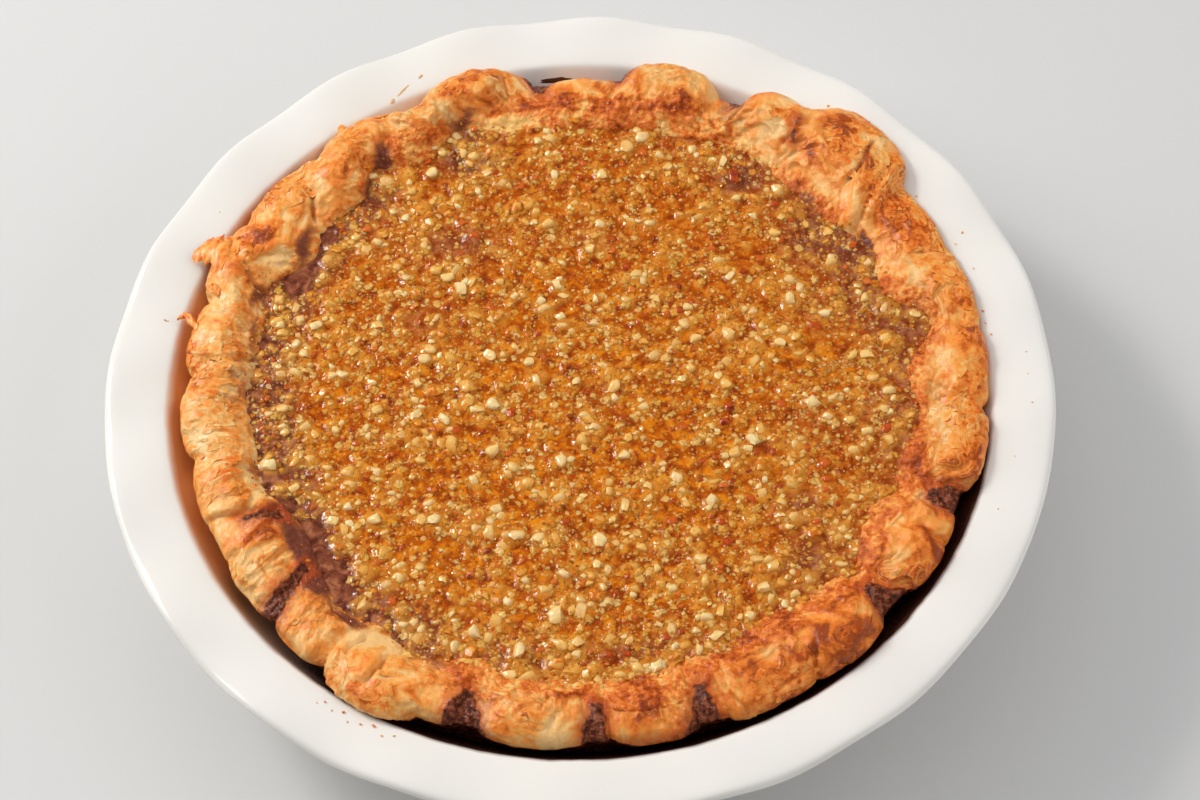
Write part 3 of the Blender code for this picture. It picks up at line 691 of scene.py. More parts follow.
# Painted highlight on the top edge of each layer of pastry, and painted shade just under it.
lit_edge = add(tree, "MapRange", {0: sheet_part, 1: 0.75, 2: 1.0, 4: 0.45})
lit_edge = add(tree, "Math", {0: lit_edge, 1: flaky_here}, operation="MULTIPLY")
edged = add(tree, "Mix", {0: lit_edge, 6: baked, 7: "#FFD090"}, 2, data_type="RGBA")
shade_under_sheet = add(tree, "MapRange", {0: sheet_part, 1: 0.12, 2: 0.0, 4: 0.75})
shade_under_sheet = add(tree, "Math", {0: shade_under_sheet, 1: flaky_here}, operation="MULTIPLY")
edged = add(tree, "Mix", {0: shade_under_sheet, 6: edged, 7: "#B04E1C"}, 2, data_type="RGBA")
soaked = add(tree, "Math", {0: by_blister, 1: ragged}, operation="ADD")
soaked = add(tree, "Math", {0: soaked, 1: toast_and_shade_here}, operation="ADD")
syrupy = add(tree, "ValToRGB", {0: soaked}, stops=(
    (0.0, "#FFC672"), (0.25, "#FC9C46"), (0.6, "#E06C24"), (1.0, "#983C12")))
wet_share = add(tree, "MapRange", {0: wet_here, 1: 0.1, 2: 0.9, 4: 0.92})
slope = add(tree, "Mix", {0: wet_share, 6: edged, 7: syrupy}, 2, data_type="RGBA")
# Dried syrup film, whose darker tone is also painted shade in the hollows.
dried = add(tree, "Mix", {0: speck, 6: "#6A3022", 7: "#90503A"}, 2, data_type="RGBA")
thin_film = add(tree, "MapRange", {0: film_here, 2: 0.5, 4: 0.8})
thick_film = add(tree, "MapRange", {0: film_here, 1: 0.3, 2: 1.0})
tinted = add(tree, "Mix", {0: thin_film, 6: slope, 7: "#D67A34"}, 2, data_type="RGBA")
filmed = add(tree, "Mix", {0: thick_film, 6: tinted, 7: dried}, 2, data_type="RGBA")
# Painted shade in the creases and cracks.
crack_shade_share = add(tree, "MapRange", {0: crack_shade_here, 1: 0.15, 2: 0.9, 4: 0.8})
crease_and_crack_shade = add(tree, "Mix", {0: crack_shade_share, 6: filmed, 7: "#8A3C18"}, 2, data_type="RGBA")
singe_share = add(tree, "MapRange", {0: singe_here, 4: 0.75})
singed = add(tree, "Mix", {0: singe_share, 6: crease_and_crack_shade, 7: "#C2501C"}, 2, data_type="RGBA")
# Burned-on syrup, and the painted shadow of the gap at the roll's foot.
char_and_shade = add(tree, "ValToRGB", {0: speck}, stops=((0.36, "#42190F"), (0.5, "#703620"), (0.64, "#A05A3C")))
ashy = add(tree, "Math", {0: by_speck, 1: 2.2, 2: burnt_and_shade_here}, operation="MULTIPLY_ADD")
ashy = add(tree, "Math", {0: by_blister, 1: 0.5, 2: ashy}, operation="MULTIPLY_ADD")
burnt_and_shade_share = add(tree, "MapRange", {0: ashy, 1: 0.35, 2: 0.75})
scorch_and_shade = add(tree, "Mix", {0: burnt_and_shade_share, 6: singed, 7: char_and_shade}, 2, data_type="RGBA")
shine = add(tree, "MapRange", {0: wet_here, 1: 0.2, 2: 0.8, 3: 0.32, 4: 0.15})
dull = add(tree, "Mix", {0: film_here, 2: shine, 3: 0.26})
sheen = add(tree, "Mix", {0: burnt_and_shade_share, 2: dull, 3: 0.15})
sheet_top = add(tree, "MapRange", {0: sheet_part, 1: 0.7, 2: 1.0})
layered = add(tree, "Math", {0: sheet_number, 1: sheet_top}, operation="ADD")
layered = add(tree, "Math", {0: layered, 1: flaky_here}, operation="MULTIPLY")
layered = add(tree, "Math", {0: layered, 1: 0.45}, operation="MULTIPLY")
crumbly = add(tree, "Math", {0: grit, 1: 0.3, 2: speck}, operation="MULTIPLY_ADD")
boiled = add(tree, "Math", {0: wet_here, 1: film_here}, operation="MAXIMUM")
boiled = add(tree, "Math", {0: boiled, 1: burnt_and_shade_here}, operation="MAXIMUM")
pores = add(tree, "MapRange", {0: boiled, 3: 0.8, 4: 2.4})
crumbly = add(tree, "Math", {0: crumbly, 1: pores, 2: layered}, operation="MULTIPLY_ADD")
rough = add(tree, "Bump", {"Strength": 0.8, "Distance": 0.5 * MM, "Height": crumbly})
connect(tree, shader, Base_Color=scorch_and_shade, Roughness=sheen, Normal=rough)
finished(crust, "pastry_crust", pastry)
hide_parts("crust")

# ------------------------------------------------------------------------------------------- flakes
# The top layers of the pastry broke as it baked. They lie as thin curled scales, most of them flat
# on the roll, some with one edge lifted, and a few torn pieces hang out over the flange.


def on_grid(step, row, field):
    """The field between its grid points, at these fractions of a step and a row."""
    i = np.clip(np.floor(row).astype(int), 0, ROWS - 1)
    j = np.floor(step).astype(int)
    v = np.clip(row - i, 0.0, 1.0)[..., None]
    u = (step - j)[..., None]
    j0 = j % CRUST_STEPS
    j1 = (j + 1) % CRUST_STEPS
    return mix(mix(field[i, j0], field[i, j1], u), mix(field[i + 1, j0], field[i + 1, j1], u), v)


FLAKES = 950
FLAKE_SUNK = 0.12
FLAKE_SIDES = 9
PER_FLAKE = 3 * FLAKE_SIDES + 2
soft_grid = grid.copy()
for _ in range(2):
    soft_grid = (soft_grid + np.roll(soft_grid, 1, 1) + np.roll(soft_grid, -1, 1)) / 3.0
    soft_grid[1:-1] = (soft_grid[:-2] + soft_grid[1:-1] + soft_grid[2:]) / 3.0
MM_PER_STEP = 2.0 * math.pi * ROLL_RADIUS / CRUST_STEPS


def flake(draw, bearing, row, length, width, heading, lift, thickness):
    """The points of one flake: a ragged scale over the surface, with its far end lifted."""
    angles = np.arange(FLAKE_SIDES) * 2.0 * math.pi / FLAKE_SIDES
    ragged = np.array([draw.uniform(0.7, 1.15) for _ in range(FLAKE_SIDES)])
    step = bearing / 360.0 * CRUST_STEPS
    row_mm = max(float(across[min(int(row) + 1, ROWS), int(step) % CRUST_STEPS]
                       - across[int(row), int(step) % CRUST_STEPS]), 0.15)
    rings = []
    for size, up in ((1.0, 0.0), (1.0, 1.0), (0.5, 1.0), (0.0, 1.0), (0.0, 0.0)):
        turns = angles if size else angles[:1]
        reach = ragged if size else ragged[:1]
        a = 0.5 * length * size * reach * np.cos(turns)
        b = 0.5 * width * size * reach * np.sin(turns)
        du = a * math.cos(heading) - b * math.sin(heading)
        dv = a * math.sin(heading) + b * math.cos(heading)
        at = (step + du / MM_PER_STEP, row + dv / row_mm)
        raised = lift * (0.5 + a / length) ** 2 + thickness * up - FLAKE_SUNK
        rings.append(on_grid(*at, soft_grid) + on_grid(*at, outward) * raised[:, None])
    return np.concatenate(rings)


def ring_faces(start, n, rings):
    """The faces of a thin scale: rings of n points, then one point on top of it and one under it."""
    faces = []
    top = start + rings * n
    for k in range(n):
        m = (k + 1) % n
        for low in range(start, top - n, n):
            faces.append((low + k, low + m, low + n + m, low + n + k))
        faces += [(top - n + k, top - n + m, top), (start + m, start + k, top + 1)]
    return faces


def from_points(name, points, faces):
    """A new smooth piece of these points, in millimetres, and faces."""
    mesh = bpy.data.meshes.new(name)
    mesh.from_pydata((points * MM).tolist(), [], faces)
    mesh.shade_smooth()
    piece = bpy.data.objects.new(name, mesh)
    bpy.context.scene.collection.objects.link(piece)
    return piece


draw = random.Random(41)
flake_points = []
flake_tones = []
while len(flake_points) < FLAKES:
    bearing = draw.uniform(0.0, 360.0)
    row = draw.uniform(first_edge_row + 9, last_edge_row - 12)
    step = int(bearing / 360.0 * CRUST_STEPS)
    nearby = dry[int(row) : int(row) + 16, step - 12 : step + 12]
    if nearby.size == 0 or nearby.min() < draw.uniform(0.4, 0.9) or fold_height[int(row), step] > 0.3:
        continue
    if flaky[int(row), step] < draw.random():
        continue
    along_roll = draw.gauss(0.0, 0.5)
    heading = along_roll + (math.pi / 2 if draw.random() < dragged[step] else 0.0)
    length = 1.8 + 4.6 * draw.random() ** 1.6
    width = length * draw.uniform(0.35, 0.7)
    lift = 0.1 * draw.random() ** 2 * length
    flake_points.append(flake(draw, bearing, row, length, width, heading, lift, draw.uniform(0.14, 0.24)))
    flake_tones.append(float(toast_and_shade[int(row), step]) + draw.gauss(0.03, 0.1))

TORN = (  # bearing, radius, height, half width and thickness, from the root of each torn piece to its tip
    ((294.0, 109.8, 49.8, 4.6, 0.8), (295.2, 113.0, 49.6, 5.6, 0.7), (295.8, 116.2, 48.8, 5.4, 0.6),
     (295.4, 118.8, 47.9, 4.2, 0.5), (294.4, 120.8, 47.9, 1.8, 0.4)),
    ((298.6, 111.0, 48.8, 2.0, 0.7), (298.2, 113.6, 48.6, 2.2, 0.6), (297.0, 116.2, 47.6, 1.6, 0.5),
     (296.4, 118.0, 47.2, 0.7, 0.4)),
    ((282.2, 110.6, 48.4, 1.6, 0.6), (283.4, 113.2, 48.3, 1.7, 0.6), (284.2, 115.6, 47.8, 1.3, 0.5),
     (283.4, 117.2, 47.9, 0.6, 0.4)),
    ((323.4, 112.6, 49.0, 1.8, 0.6), (324.0, 114.6, 48.4, 1.6, 0.5), (324.2, 116.2, 48.2, 0.7, 0.4)),
    ((288.6, 107.5, 49.6, 1.8, 0.5), (289.2, 109.8, 50.2, 1.7, 0.4), (289.2, 111.8, 49.4, 0.7, 0.4)),
)
ACROSS_TORN = 7


def torn(draw, stations):
    """A torn strip of pastry with a ragged edge, as closed points and faces."""
    keys = [(np.array(s[:3]), np.array((s[3], s[4], 0.0))) for s in stations]
    rows = through(keys, [4] * (len(stations) - 1))
    shares = np.linspace(-1.0, 1.0, ACROSS_TORN)
    points = []
    for (bearing, radius, height), (half, thick, _) in rows:
        ragged = half * draw.uniform(0.72, 1.2)
        angle = np.radians(bearing) + shares * ragged / radius
        uneven = np.array([draw.gauss(0.0, 1.0) for _ in shares])
        arch = height + 0.3 * (1.0 - shares**2) * half + 0.12 * uneven
        for up in (0.5 * thick, -0.5 * thick):
            edge = arch + up * np.sqrt(np.clip(1.04 - shares**2, 0.0, 1.0))
            points.append(np.stack([radius * np.sin(angle), radius * np.cos(angle), edge], axis=-1))
    n = ACROSS_TORN
    faces = []
    last = len(rows) - 1
    for k in range(last):
        a, b = 2 * n * k, 2 * n * (k + 1)
        faces += [(a + i, a + i + 1, b + i + 1, b + i) for i in range(n - 1)]
        faces += [(a + n + i + 1, a + n + i, b + n + i, b + n + i + 1) for i in range(n - 1)]
        faces += [(a, b, b + n, a + n), (a + n - 1, a + 2 * n - 1, b + 2 * n - 1, b + n - 1)]
    faces += [(i + 1, i, n + i, n + i + 1) for i in range(n - 1)]
    end = 2 * n * last
    faces += [(end + i, end + i + 1, end + n + i + 1, end + n + i) for i in range(n - 1)]
    return np.concatenate(points), faces


all_faces = []
for k in range(len(flake_points)):
    all_faces += ring_faces(k * PER_FLAKE, FLAKE_SIDES, 3)
inner_share = np.concatenate([np.zeros(2 * FLAKE_SIDES), np.full(FLAKE_SIDES, 0.5), (1.0, 1.0)])
tones = np.repeat(flake_tones, PER_FLAKE)
middles = np.tile(inner_share, len(flake_points))
for stations in TORN:
    points, faces = torn(draw, stations)
    start = len(tones)
    all_faces += [tuple(v + start for v in f) for f in faces]
    flake_points.append(points)
    tones = np.concatenate([tones, 0.55 + 0.2 * np.array([draw.gauss(0.0, 1.0) for _ in points])])
    middles = np.concatenate([middles, np.zeros(len(points))])
flakes = from_points("pastry_flakes", np.concatenate(flake_points), all_faces)
bpy.context.view_layer.objects.active = flakes
bpy.ops.object.mode_set(mode="EDIT")
close_up(flakes)
flakes.data.set_sharp_from_angle(angle=math.radians(50.0))
paint(flakes, "tone", tones)
paint(flakes, "middle", middles)

scale, tree, shader = new_material("butter_pastry_flake", Roughness=0.34, IOR=1.45, Subsurface_Weight=0.15,
                                   Subsurface_Scale=0.001, Subsurface_Radius=(1.0, 0.5, 0.25))
object_place = add(tree, "TexCoord", output="Object")
tone_here = add(tree, "Attribute", output="Fac", attribute_name="tone")
middle_here = add(tree, "Attribute", output="Fac", attribute_name="middle")
blister = add(tree, "TexNoise", {"Vector": object_place, "Scale": per_mm(1.4), "Detail": 3.0})
by_blister = add(tree, "MapRange", {0: blister, 1: 0.3, 2: 0.7, 3: -0.2, 4: 0.2})
by_middle = add(tree, "MapRange", {0: middle_here, 2: 0.5, 3: -0.08, 4: 0.06})
toasted = add(tree, "Math", {0: tone_here, 1: by_blister}, operation="ADD")
toasted = add(tree, "Math", {0: toasted, 1: by_middle}, operation="ADD")
baked = add(tree, "ValToRGB", {0: toasted}, stops=(
    (0.0, "#FFCE88"), (0.25, "#FFB762"), (0.5, "#FF9A40"), (0.75, "#EC7424"), (1.0, "#B04C16")))
pitted = add(tree, "Bump", {"Strength": 0.35, "Distance": 0.25 * MM, "Height": blister})
connect(tree, shader, Base_Color=baked, Normal=pitted)
finished(flakes, "pastry_flakes", scale)

# ------------------------------------------------------------------------------------- pecan places
# Finely chopped pecans float in the top of the filling, the largest a few millimetres long, with
# still finer chop between them. Their places come first, because the custard domes up round each.

CELL = 6.0  # mm, of the squares in which taken places are looked up
TRIES = 30
REACH_STEPS = 720  # two to a degree
reach_at = fill_radius(np.arange(REACH_STEPS) * 0.5)
BARE = (  # bearing, radius and reach of the pools at the edge that no nuts drifted into
    (240.5, 87.5, 4.5), (236, 87.5, 5), (231, 90, 4.5), (226, 92.5, 4), (247, 89, 3), (283, 92, 2.5),
    (296.5, 89.5, 3.5), (300.5, 89, 4), (304.5, 90.5, 4.5), (308.5, 92, 3.5), (253.5, 90, 3),
)


def spot_at(bearing, radius):
    """The x and y, in millimetres, of a place round the pie."""
    return radius * math.sin(math.radians(bearing)), radius * math.cos(math.radians(bearing))


def bareness(x, y):
    """1 in the middle of a bare pool, 0 outside them all."""
    total = 0.0 * x
    for bearing, radius, reach in BARE:
        middle_x, middle_y = spot_at(bearing, radius)
        off = np.hypot(x - middle_x, y - middle_y)
        total = np.maximum(total, smooth_step(reach - off, -1.0, 1.5))
    return total


def strew(count, low, high, seed, taken, closeness, past_edge=0.0):
    """Places for pieces, as x, y and size, clear of those already taken. The sizes fall off evenly."""
    draw = random.Random(seed)
    found = []
    for i in range(count):
        size = mix(high, low, (i / count) ** 0.55)
        for _ in range(TRIES):
            bearing = draw.uniform(0.0, 360.0)
            reach = float(reach_at[int(bearing * 2) % REACH_STEPS]) + past_edge - 0.3 * size
            x, y = spot_at(bearing, reach * math.sqrt(draw.random()))
            crowd = 0.55 + 0.8 * noise.noise(Vector((x / 11.0, y / 11.0, 3.0))) - 2.0 * float(bareness(x, y))
            crowd += 0.4 * min(max((-y - 50.0) / 30.0, 0.0), 1.0)
            column, line = int(x // CELL), int(y // CELL)
            near = [t for dx in (-1, 0, 1) for dy in (-1, 0, 1)
                    for t in taken.get((column + dx, line + dy), ())]
            if draw.random() < crowd and all(
                    math.hypot(x - t[0], y - t[1]) > closeness * 0.5 * (size + t[2]) for t in near):
                taken.setdefault((column, line), []).append((x, y, size))
                found.append((x, y, size))
                break
    return found


PICKED_OUT = (  # bearing, radius and size of the nuts that stand out from the rest
    (118, 84, 4.5), (127, 87, 4.5), (131, 92, 4), (137, 88, 5), (141, 89, 3.5), (141, 84, 3.5),
    (145, 86, 4), (150, 87, 4), (150, 81, 3.5), (154, 82, 4.5), (157, 88, 4.5), (157, 82, 4.5),
    (160, 84, 3.5), (163, 87, 4), (164, 81, 4), (166, 90, 6), (127, 62, 5), (144, 49, 3.5),
    (151, 59, 4), (154, 41, 4.5), (158, 65, 3), (165, 51, 3.5), (165, 70, 3), (167, 62, 3.5),
    (183, 90, 5), (186, 88, 6), (190.5, 93, 7), (192.5, 89.5, 6), (201, 92.5, 4.2), (201.5, 88.5, 5),
    (214, 89, 4.2), (23.5, 90.5, 3.8), (42.5, 90, 5.4), (47, 86.5, 4.2), (66, 91, 4.4), (72, 87.5, 4.2),
    (83, 90, 6), (88.5, 89, 4.2), (8.4, 68.7, 5), (6.8, 75.5, 4.4), (175.4, 50.2, 5), (64.8, 56.4, 4.8),
    (85.6, 39.1, 4.2), (81.6, 89, 5.2), (32.5, 68.8, 4.2), (120.8, 67.7, 5), (192.9, 85.1, 6),
    (185.6, 82.4, 6), (210.5, 97, 5), (215, 77, 3.5), (216, 86, 5), (219, 72, 3.5), (222, 75, 4),
    (231, 71, 3.5), (231, 61, 3.5), (234, 83, 4.5), (236, 76, 4), (237, 63, 3.5), (240, 80, 4),
    (241, 74, 4.5), (244, 50, 3.5), (245, 77, 3), (246, 62, 3.5), (248, 76, 3.5), (248, 83, 3),
    (255, 78, 4.5), (259, 51, 3.5), (263, 78, 4.5), (264, 84, 3.5), (267, 88, 3.5), (268, 84, 4),
    (271, 72, 4), (271, 49, 3.5), (276, 85, 4), (277, 67, 5), (279, 73, 3.5), (281, 79, 4.5),
    (284, 66, 4), (285, 87, 4.5), (286, 77, 4), (289, 84, 4), (291, 75, 3.5), (292, 92, 4.5),
    (293, 62, 4), (298, 78, 3.5), (300, 84, 4), (303, 48, 4), (307, 58, 4.5), (307, 86, 4),
    (310, 79, 4.5), (310, 63, 4), (311, 68, 3.5), (317, 58, 5), (320, 67, 4), (321, 83, 3.5),
)
PICKED_SKINS = ((69, 90.5, 5), (98, 57.6, 5), (33.7, 86.5, 6), (331.8, 61.3, 5), (75.2, 70.3, 4.6))


def at_bearing(table):
    return [(*spot_at(bearing, radius), size) for bearing, radius, size in table]


taken = {}
large = at_bearing(PICKED_OUT)
skins = at_bearing(PICKED_SKINS)
for x, y, size in large + skins:
    taken.setdefault((int(x // CELL), int(y // CELL)), []).append((x, y, size))
large += strew(350, 3.3, 6.2, 11, taken, 0.78, 0.8)
skins += strew(260, 1.8, 4.4, 12, taken, 0.7, 1.0)
draw = random.Random(17)
for x, y, size in list(large):  # many stick together in twos and threes
    for _ in range(draw.choice((0, 1, 1, 2))):
        beside = size * draw.uniform(0.5, 0.85)
        heading = draw.uniform(0.0, 2.0 * math.pi)
        off = 0.36 * (size + beside)
        large.append((x + off * math.cos(heading), y + off * math.sin(heading), beside))
middling = strew(850, 1.9, 3.2, 13, taken, 0.68, 2.6)
small = strew(1200, 1.2, 1.9, 16, taken, 0.64, 3.4)
chop = strew(1700, 0.7, 1.2, 14, {}, 0.6, 3.0)
bubbles = strew(900, 0.45, 1.1, 15, {}, 1.0)

# ------------------------------------------------------------------------------------------ custard
# The filling sets as a soft custard under a skin of amber syrup. It is level to within a
# millimetre, domed up a little round each nut, pitted with fine bubbles, and browner at the edge.

TOP_CELLS = 306
RASTER = 0.4  # mm between points of the height map of the domes
RASTER_HALF = 110.0
RASTER_SIZE = int(2 * RASTER_HALF / RASTER)


def raster(pieces, height, spread):
    """A map with a flat-topped bump for each piece, as high and wide as these shares of its size."""
    bumps = np.zeros((RASTER_SIZE, RASTER_SIZE))
    for x, y, size in pieces:
        reach = spread * size
        i0, i1 = (int((x + RASTER_HALF + s * reach) / RASTER) for s in (-1, 1))
        j0, j1 = (int((y + RASTER_HALF + s * reach) / RASTER) for s in (-1, 1))
        xs = np.arange(i0, i1 + 1) * RASTER - RASTER_HALF - x
        ys = np.arange(j0, j1 + 1) * RASTER - RASTER_HALF - y
        bump = height * size * smooth_step(reach - np.hypot(xs[:, None], ys[None, :]), 0.0, 0.55 * reach)
        bumps[i0 : i1 + 1, j0 : j1 + 1] = np.maximum(bumps[i0 : i1 + 1, j0 : j1 + 1], bump)
    return bumps


def on_raster(bumps, x, y):
    i = np.clip(np.rint((x + RASTER_HALF) / RASTER).astype(int), 0, RASTER_SIZE - 1)
    j = np.clip(np.rint((y + RASTER_HALF) / RASTER).astype(int), 0, RASTER_SIZE - 1)
    return bumps[i, j]


domes = np.maximum(raster(large + skins + middling, 0.18, 0.8), raster(small, 0.13, 0.7))
glow = np.clip(raster(large + middling, 0.32, 0.72), 0.0, 1.0)


def fill_height(x, y):
    """The level of the filling, without the domes."""
    spot = Vector((x, y, 0.0))
    return FILL_LEVEL + 0.5 * noise.noise(spot / 26.0) + 0.35 * noise.noise(spot / 9.0)


FILMED = (  # x, y, half length, half width, and how much of a dull brown film (or clear amber) lies there
    (-85, -30, 10, 30, 1), (-74, -50, 8, 10, 1), (-78, 55, 8, 12, 0.9), (-86, 25, 8, 12, 0.7),
    (-35, 52, 14, 8, 0.5), (5, 52, 9, 6, 0.3), (48, 72, 7, 7, 0.6), (66, 48, 8, 8, 0.5),
    (72, 25, 14, 14, 0.3), (60, -42, 8, 6, 0.6), (-45, 25, 10, 8, 0.3), (-30, 82, 8, 5, 0.8),
    (60, -58, 8, 8, 0.5), (-50, -75, 12, 8, 0.4), (-15, -84, 14, 5, 0.4), (15, -84, 14, 5, 0.4),
    (70, -15, 18, 10, 0.25), (-35, -12, 30, 12, -0.8), (0, 35, 14, 8, -0.7), (-30, -42, 25, 14, -0.5),
    (30, -25, 20, 20, -0.35), (55, 5, 25, 10, -0.5), (0, -70, 12, 8, -0.7), (-50, 0, 20, 8, -0.5),
    (0, 5, 20, 14, -0.3),
)
FILM_AT_EDGE = (  # bearing, and how brown the filling is where it meets the pastry
    (0, 0.1), (30, 0.3), (45, 0.4), (60, 0.7), (80, 0.6), (100, 0.4), (120, 0.2), (150, 0.25),
    (170, 0.1), (190, 0.3), (205, 0.4), (225, 0.9), (250, 0.9), (270, 1), (300, 0.9), (320, 0.8),
    (328, 0.1), (336, 0.2), (342, 0.6), (350, 0.1),
)

bpy.ops.mesh.primitive_grid_add(x_subdivisions=TOP_CELLS, y_subdivisions=TOP_CELLS, size=2.0)
custard = bpy.context.object
spots = places(custard) * MM
u, v = spots[:, 0], spots[:, 1]
share = np.maximum(np.abs(u), np.abs(v))
wide = np.abs(u) >= np.abs(v)
slope_u = np.pi / 4 * v / np.where(u == 0, 1e-9, u)
slope_v = np.pi / 2 - np.pi / 4 * u / np.where(v == 0, 1e-9, v)
turned = np.where(wide, slope_u, slope_v)
turned = turned + np.where(np.where(wide, u, v) < 0, np.pi, 0.0)
bearing = np.degrees(turned) % 360.0
creep = np.array([noise.noise(Vector((40.0 * math.sin(b), 40.0 * math.cos(b), 1.0)) / 1.4) for b in turned])
radius = share * (fill_radius(bearing) + 1.1 + 1.1 * creep)
x = radius * np.sin(np.radians(bearing))
y = radius * np.cos(np.radians(bearing))
level = np.array([fill_height(a, b) for a, b in zip(x, y)])
pimples = np.array([noise.noise(Vector((a / 1.6, b / 1.6, 2.0)))
                    + 0.5 * noise.noise(Vector((a / 0.9, b / 0.9, 5.0))) for a, b in zip(x, y)])
climb = 0.5 * np.clip((share - 0.97) / 0.03, 0.0, 1.0) ** 1.5
shifts = np.array([drift(Vector((a / 2.6, b / 2.6, 4.0))) for a, b in zip(x, y)])
height = level + on_raster(domes, x + 0.9 * shifts[:, 0], y + 0.9 * shifts[:, 1]) + 0.16 * pimples + climb
place(custard, np.stack([x, y, height], axis=-1))
filmed = by_table(bearing, FILM_AT_EDGE) * smooth_step(radius, 76.0, 92.0)
for middle_x, middle_y, half_x, half_y, amount in FILMED:
    filmed += amount * np.exp(-(((x - middle_x) / half_x) ** 2) - ((y - middle_y) / half_y) ** 2)
bare = bareness(x, y)
paint(custard, "film", filmed + 0.8 * bare)
paint(custard, "bare", bare)
paint(custard, "glow", on_raster(glow, x + 1.2 * shifts[:, 0], y + 1.2 * shifts[:, 1]))
bpy.ops.object.mode_set(mode="EDIT")
bpy.ops.mesh.select_all(action="SELECT")
bpy.ops.mesh.region_to_loop()
for fall, narrower in ((4.0, 0.985), (24.0, 0.92)):
    bpy.ops.mesh.extrude_region_move(TRANSFORM_OT_translate={"value": (0, 0, -fall * MM)})
    bpy.ops.transform.resize(value=(narrower, narrower, 1), center_override=(0, 0, 0))
bpy.ops.mesh.edge_face_add()
close_up(custard)

# Amber syrup custard: a thick sugar syrup that set with a glassy skin, clear for a millimetre or two,
# so the crumbs sunk in it show as paler rounded patches. Where it dried it is duller and browner.
syrup, tree, shader = new_material("amber_syrup_custard", IOR=1.46, Subsurface_Weight=0.12,
                                   Subsurface_Scale=0.002, Coat_Weight=0.7, Coat_Roughness=0.03,
                                   Specular_IOR_Level=0.15, Subsurface_Radius=(1.0, 0.4, 0.08))
object_place = add(tree, "TexCoord", output="Object")
film_here = add(tree, "Attribute", output="Fac", attribute_name="film")
bare_here = add(tree, "Attribute", output="Fac", attribute_name="bare")
mottle = add(tree, "TexNoise",
             {"Vector": object_place, "Scale": per_mm(3.4), "Detail": 4.0, "Distortion": 0.7})
warp = add(tree, "TexNoise", {"Vector": object_place, "Scale": per_mm(1.6), "Detail": 2.0}, "Color")
shaken = add(tree, "VectorMath", {0: warp, 1: (1.1 * MM, 1.1 * MM, 0.0), 2: object_place},
             operation="MULTIPLY_ADD")
clear = add(tree, "ValToRGB", {0: mottle}, stops=((0.34, "#903400"), (0.5, "#BE5800"), (0.66, "#EC880A")))
dulled = add(tree, "ValToRGB", {0: mottle}, stops=((0.34, "#582614"), (0.5, "#84442C"), (0.66, "#B4704A")))
by_mottle = add(tree, "MapRange", {0: mottle, 1: 0.3, 2: 0.7, 3: -0.3, 4: 0.3})
film_share = add(tree, "Math", {0: film_here, 1: by_mottle}, operation="ADD")
film_share = add(tree, "MapRange", {0: film_share, 1: 0.05, 2: 0.75})
body = add(tree, "Mix", {0: film_share, 6: clear, 7: dulled}, 2, data_type="RGBA")
glow_here = add(tree, "Attribute", output="Fac", attribute_name="glow")
glow_share = add(tree, "MapRange", {0: glow_here, 4: 0.5})
body = add(tree, "Mix", {0: glow_share, 6: body, 7: "#EEA438"}, 2, data_type="RGBA")
cloud = add(tree, "TexNoise", {"Vector": object_place, "Scale": per_mm(12.0), "Detail": 2.0})
crowded = add(tree, "MapRange", {0: cloud, 1: 0.32, 2: 0.66, 3: -0.45, 4: 0.2})
crowded = add(tree, "Math", {0: bare_here, 1: -1.5, 2: crowded}, operation="MULTIPLY_ADD")
bumps = None
for size, often, strength, height in ((3.6, 0.5, 0.8, 1.0), (2.0, 0.6, 0.75, 0.6), (1.15, 0.6, 0.55, 0.3)):
    cells = add(tree, "TexVoronoi", {"Vector": shaken, "Scale": per_mm(size)}, voronoi_dimensions="2D")
    pick = add(tree, "SeparateColor", {0: cells.node.outputs["Color"]})
    edge = add(tree, "Math", {0: pick.node.outputs["Green"], 1: 0.2, 2: 0.25}, operation="MULTIPLY_ADD")
    rise = add(tree, "Math", {0: edge, 1: 0.14}, operation="SUBTRACT")
    sunk = add(tree, "MapRange", {0: cells, 1: edge, 2: rise})
    share = add(tree, "Math", {0: crowded, 1: often + 0.1}, operation="ADD")
    here = add(tree, "Math", {0: pick, 1: share}, operation="LESS_THAN")
    sunk = add(tree, "Math", {0: sunk, 1: here}, operation="MULTIPLY")
    nut = add(tree, "ValToRGB", {0: pick.node.outputs["Blue"]}, stops=(
        (0.0, "#F6D080"), (0.35, "#EEB048"), (0.6, "#E08C20"), (0.8, "#D2690E"), (0.93, "#B8400A"),
        (1.0, "#762810")))
    amount = add(tree, "Math", {0: sunk, 1: strength}, operation="MULTIPLY")
    body = add(tree, "Mix", {0: amount, 6: body, 7: nut}, 2, data_type="RGBA")
    bumps = add(tree, "Math", {0: sunk, 1: height, 2: bumps or 0.0}, operation="MULTIPLY_ADD")
# Tiny set bubbles: raised as bumps, and painted as pale glints where they catch the light.
froth = add(tree, "TexVoronoi", {"Vector": object_place, "Scale": per_mm(0.75)})
bubble_and_glint = add(tree, "MapRange", {0: froth, 1: 0.2, 2: 0.12, 4: 0.5})
body = add(tree, "Mix", {0: bubble_and_glint, 6: body, 7: "#F0B060"}, 2, data_type="RGBA")
gloss = add(tree, "MapRange", {0: film_share, 3: 0.14, 4: 0.3})
bumps = add(tree, "Math", {0: bubble_and_glint, 1: 1.1, 2: bumps}, operation="MULTIPLY_ADD")
bumps = add(tree, "Math", {0: mottle, 1: 0.8, 2: bumps}, operation="MULTIPLY_ADD")
wavy = add(tree, "Bump", {"Strength": 0.9, "Distance": 0.5 * MM, "Height": bumps})
connect(tree, shader, Base_Color=body, Roughness=gloss, Normal=wavy, Coat_Normal=wavy)
finished(custard, "syrup_custard", syrup)
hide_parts("filling")

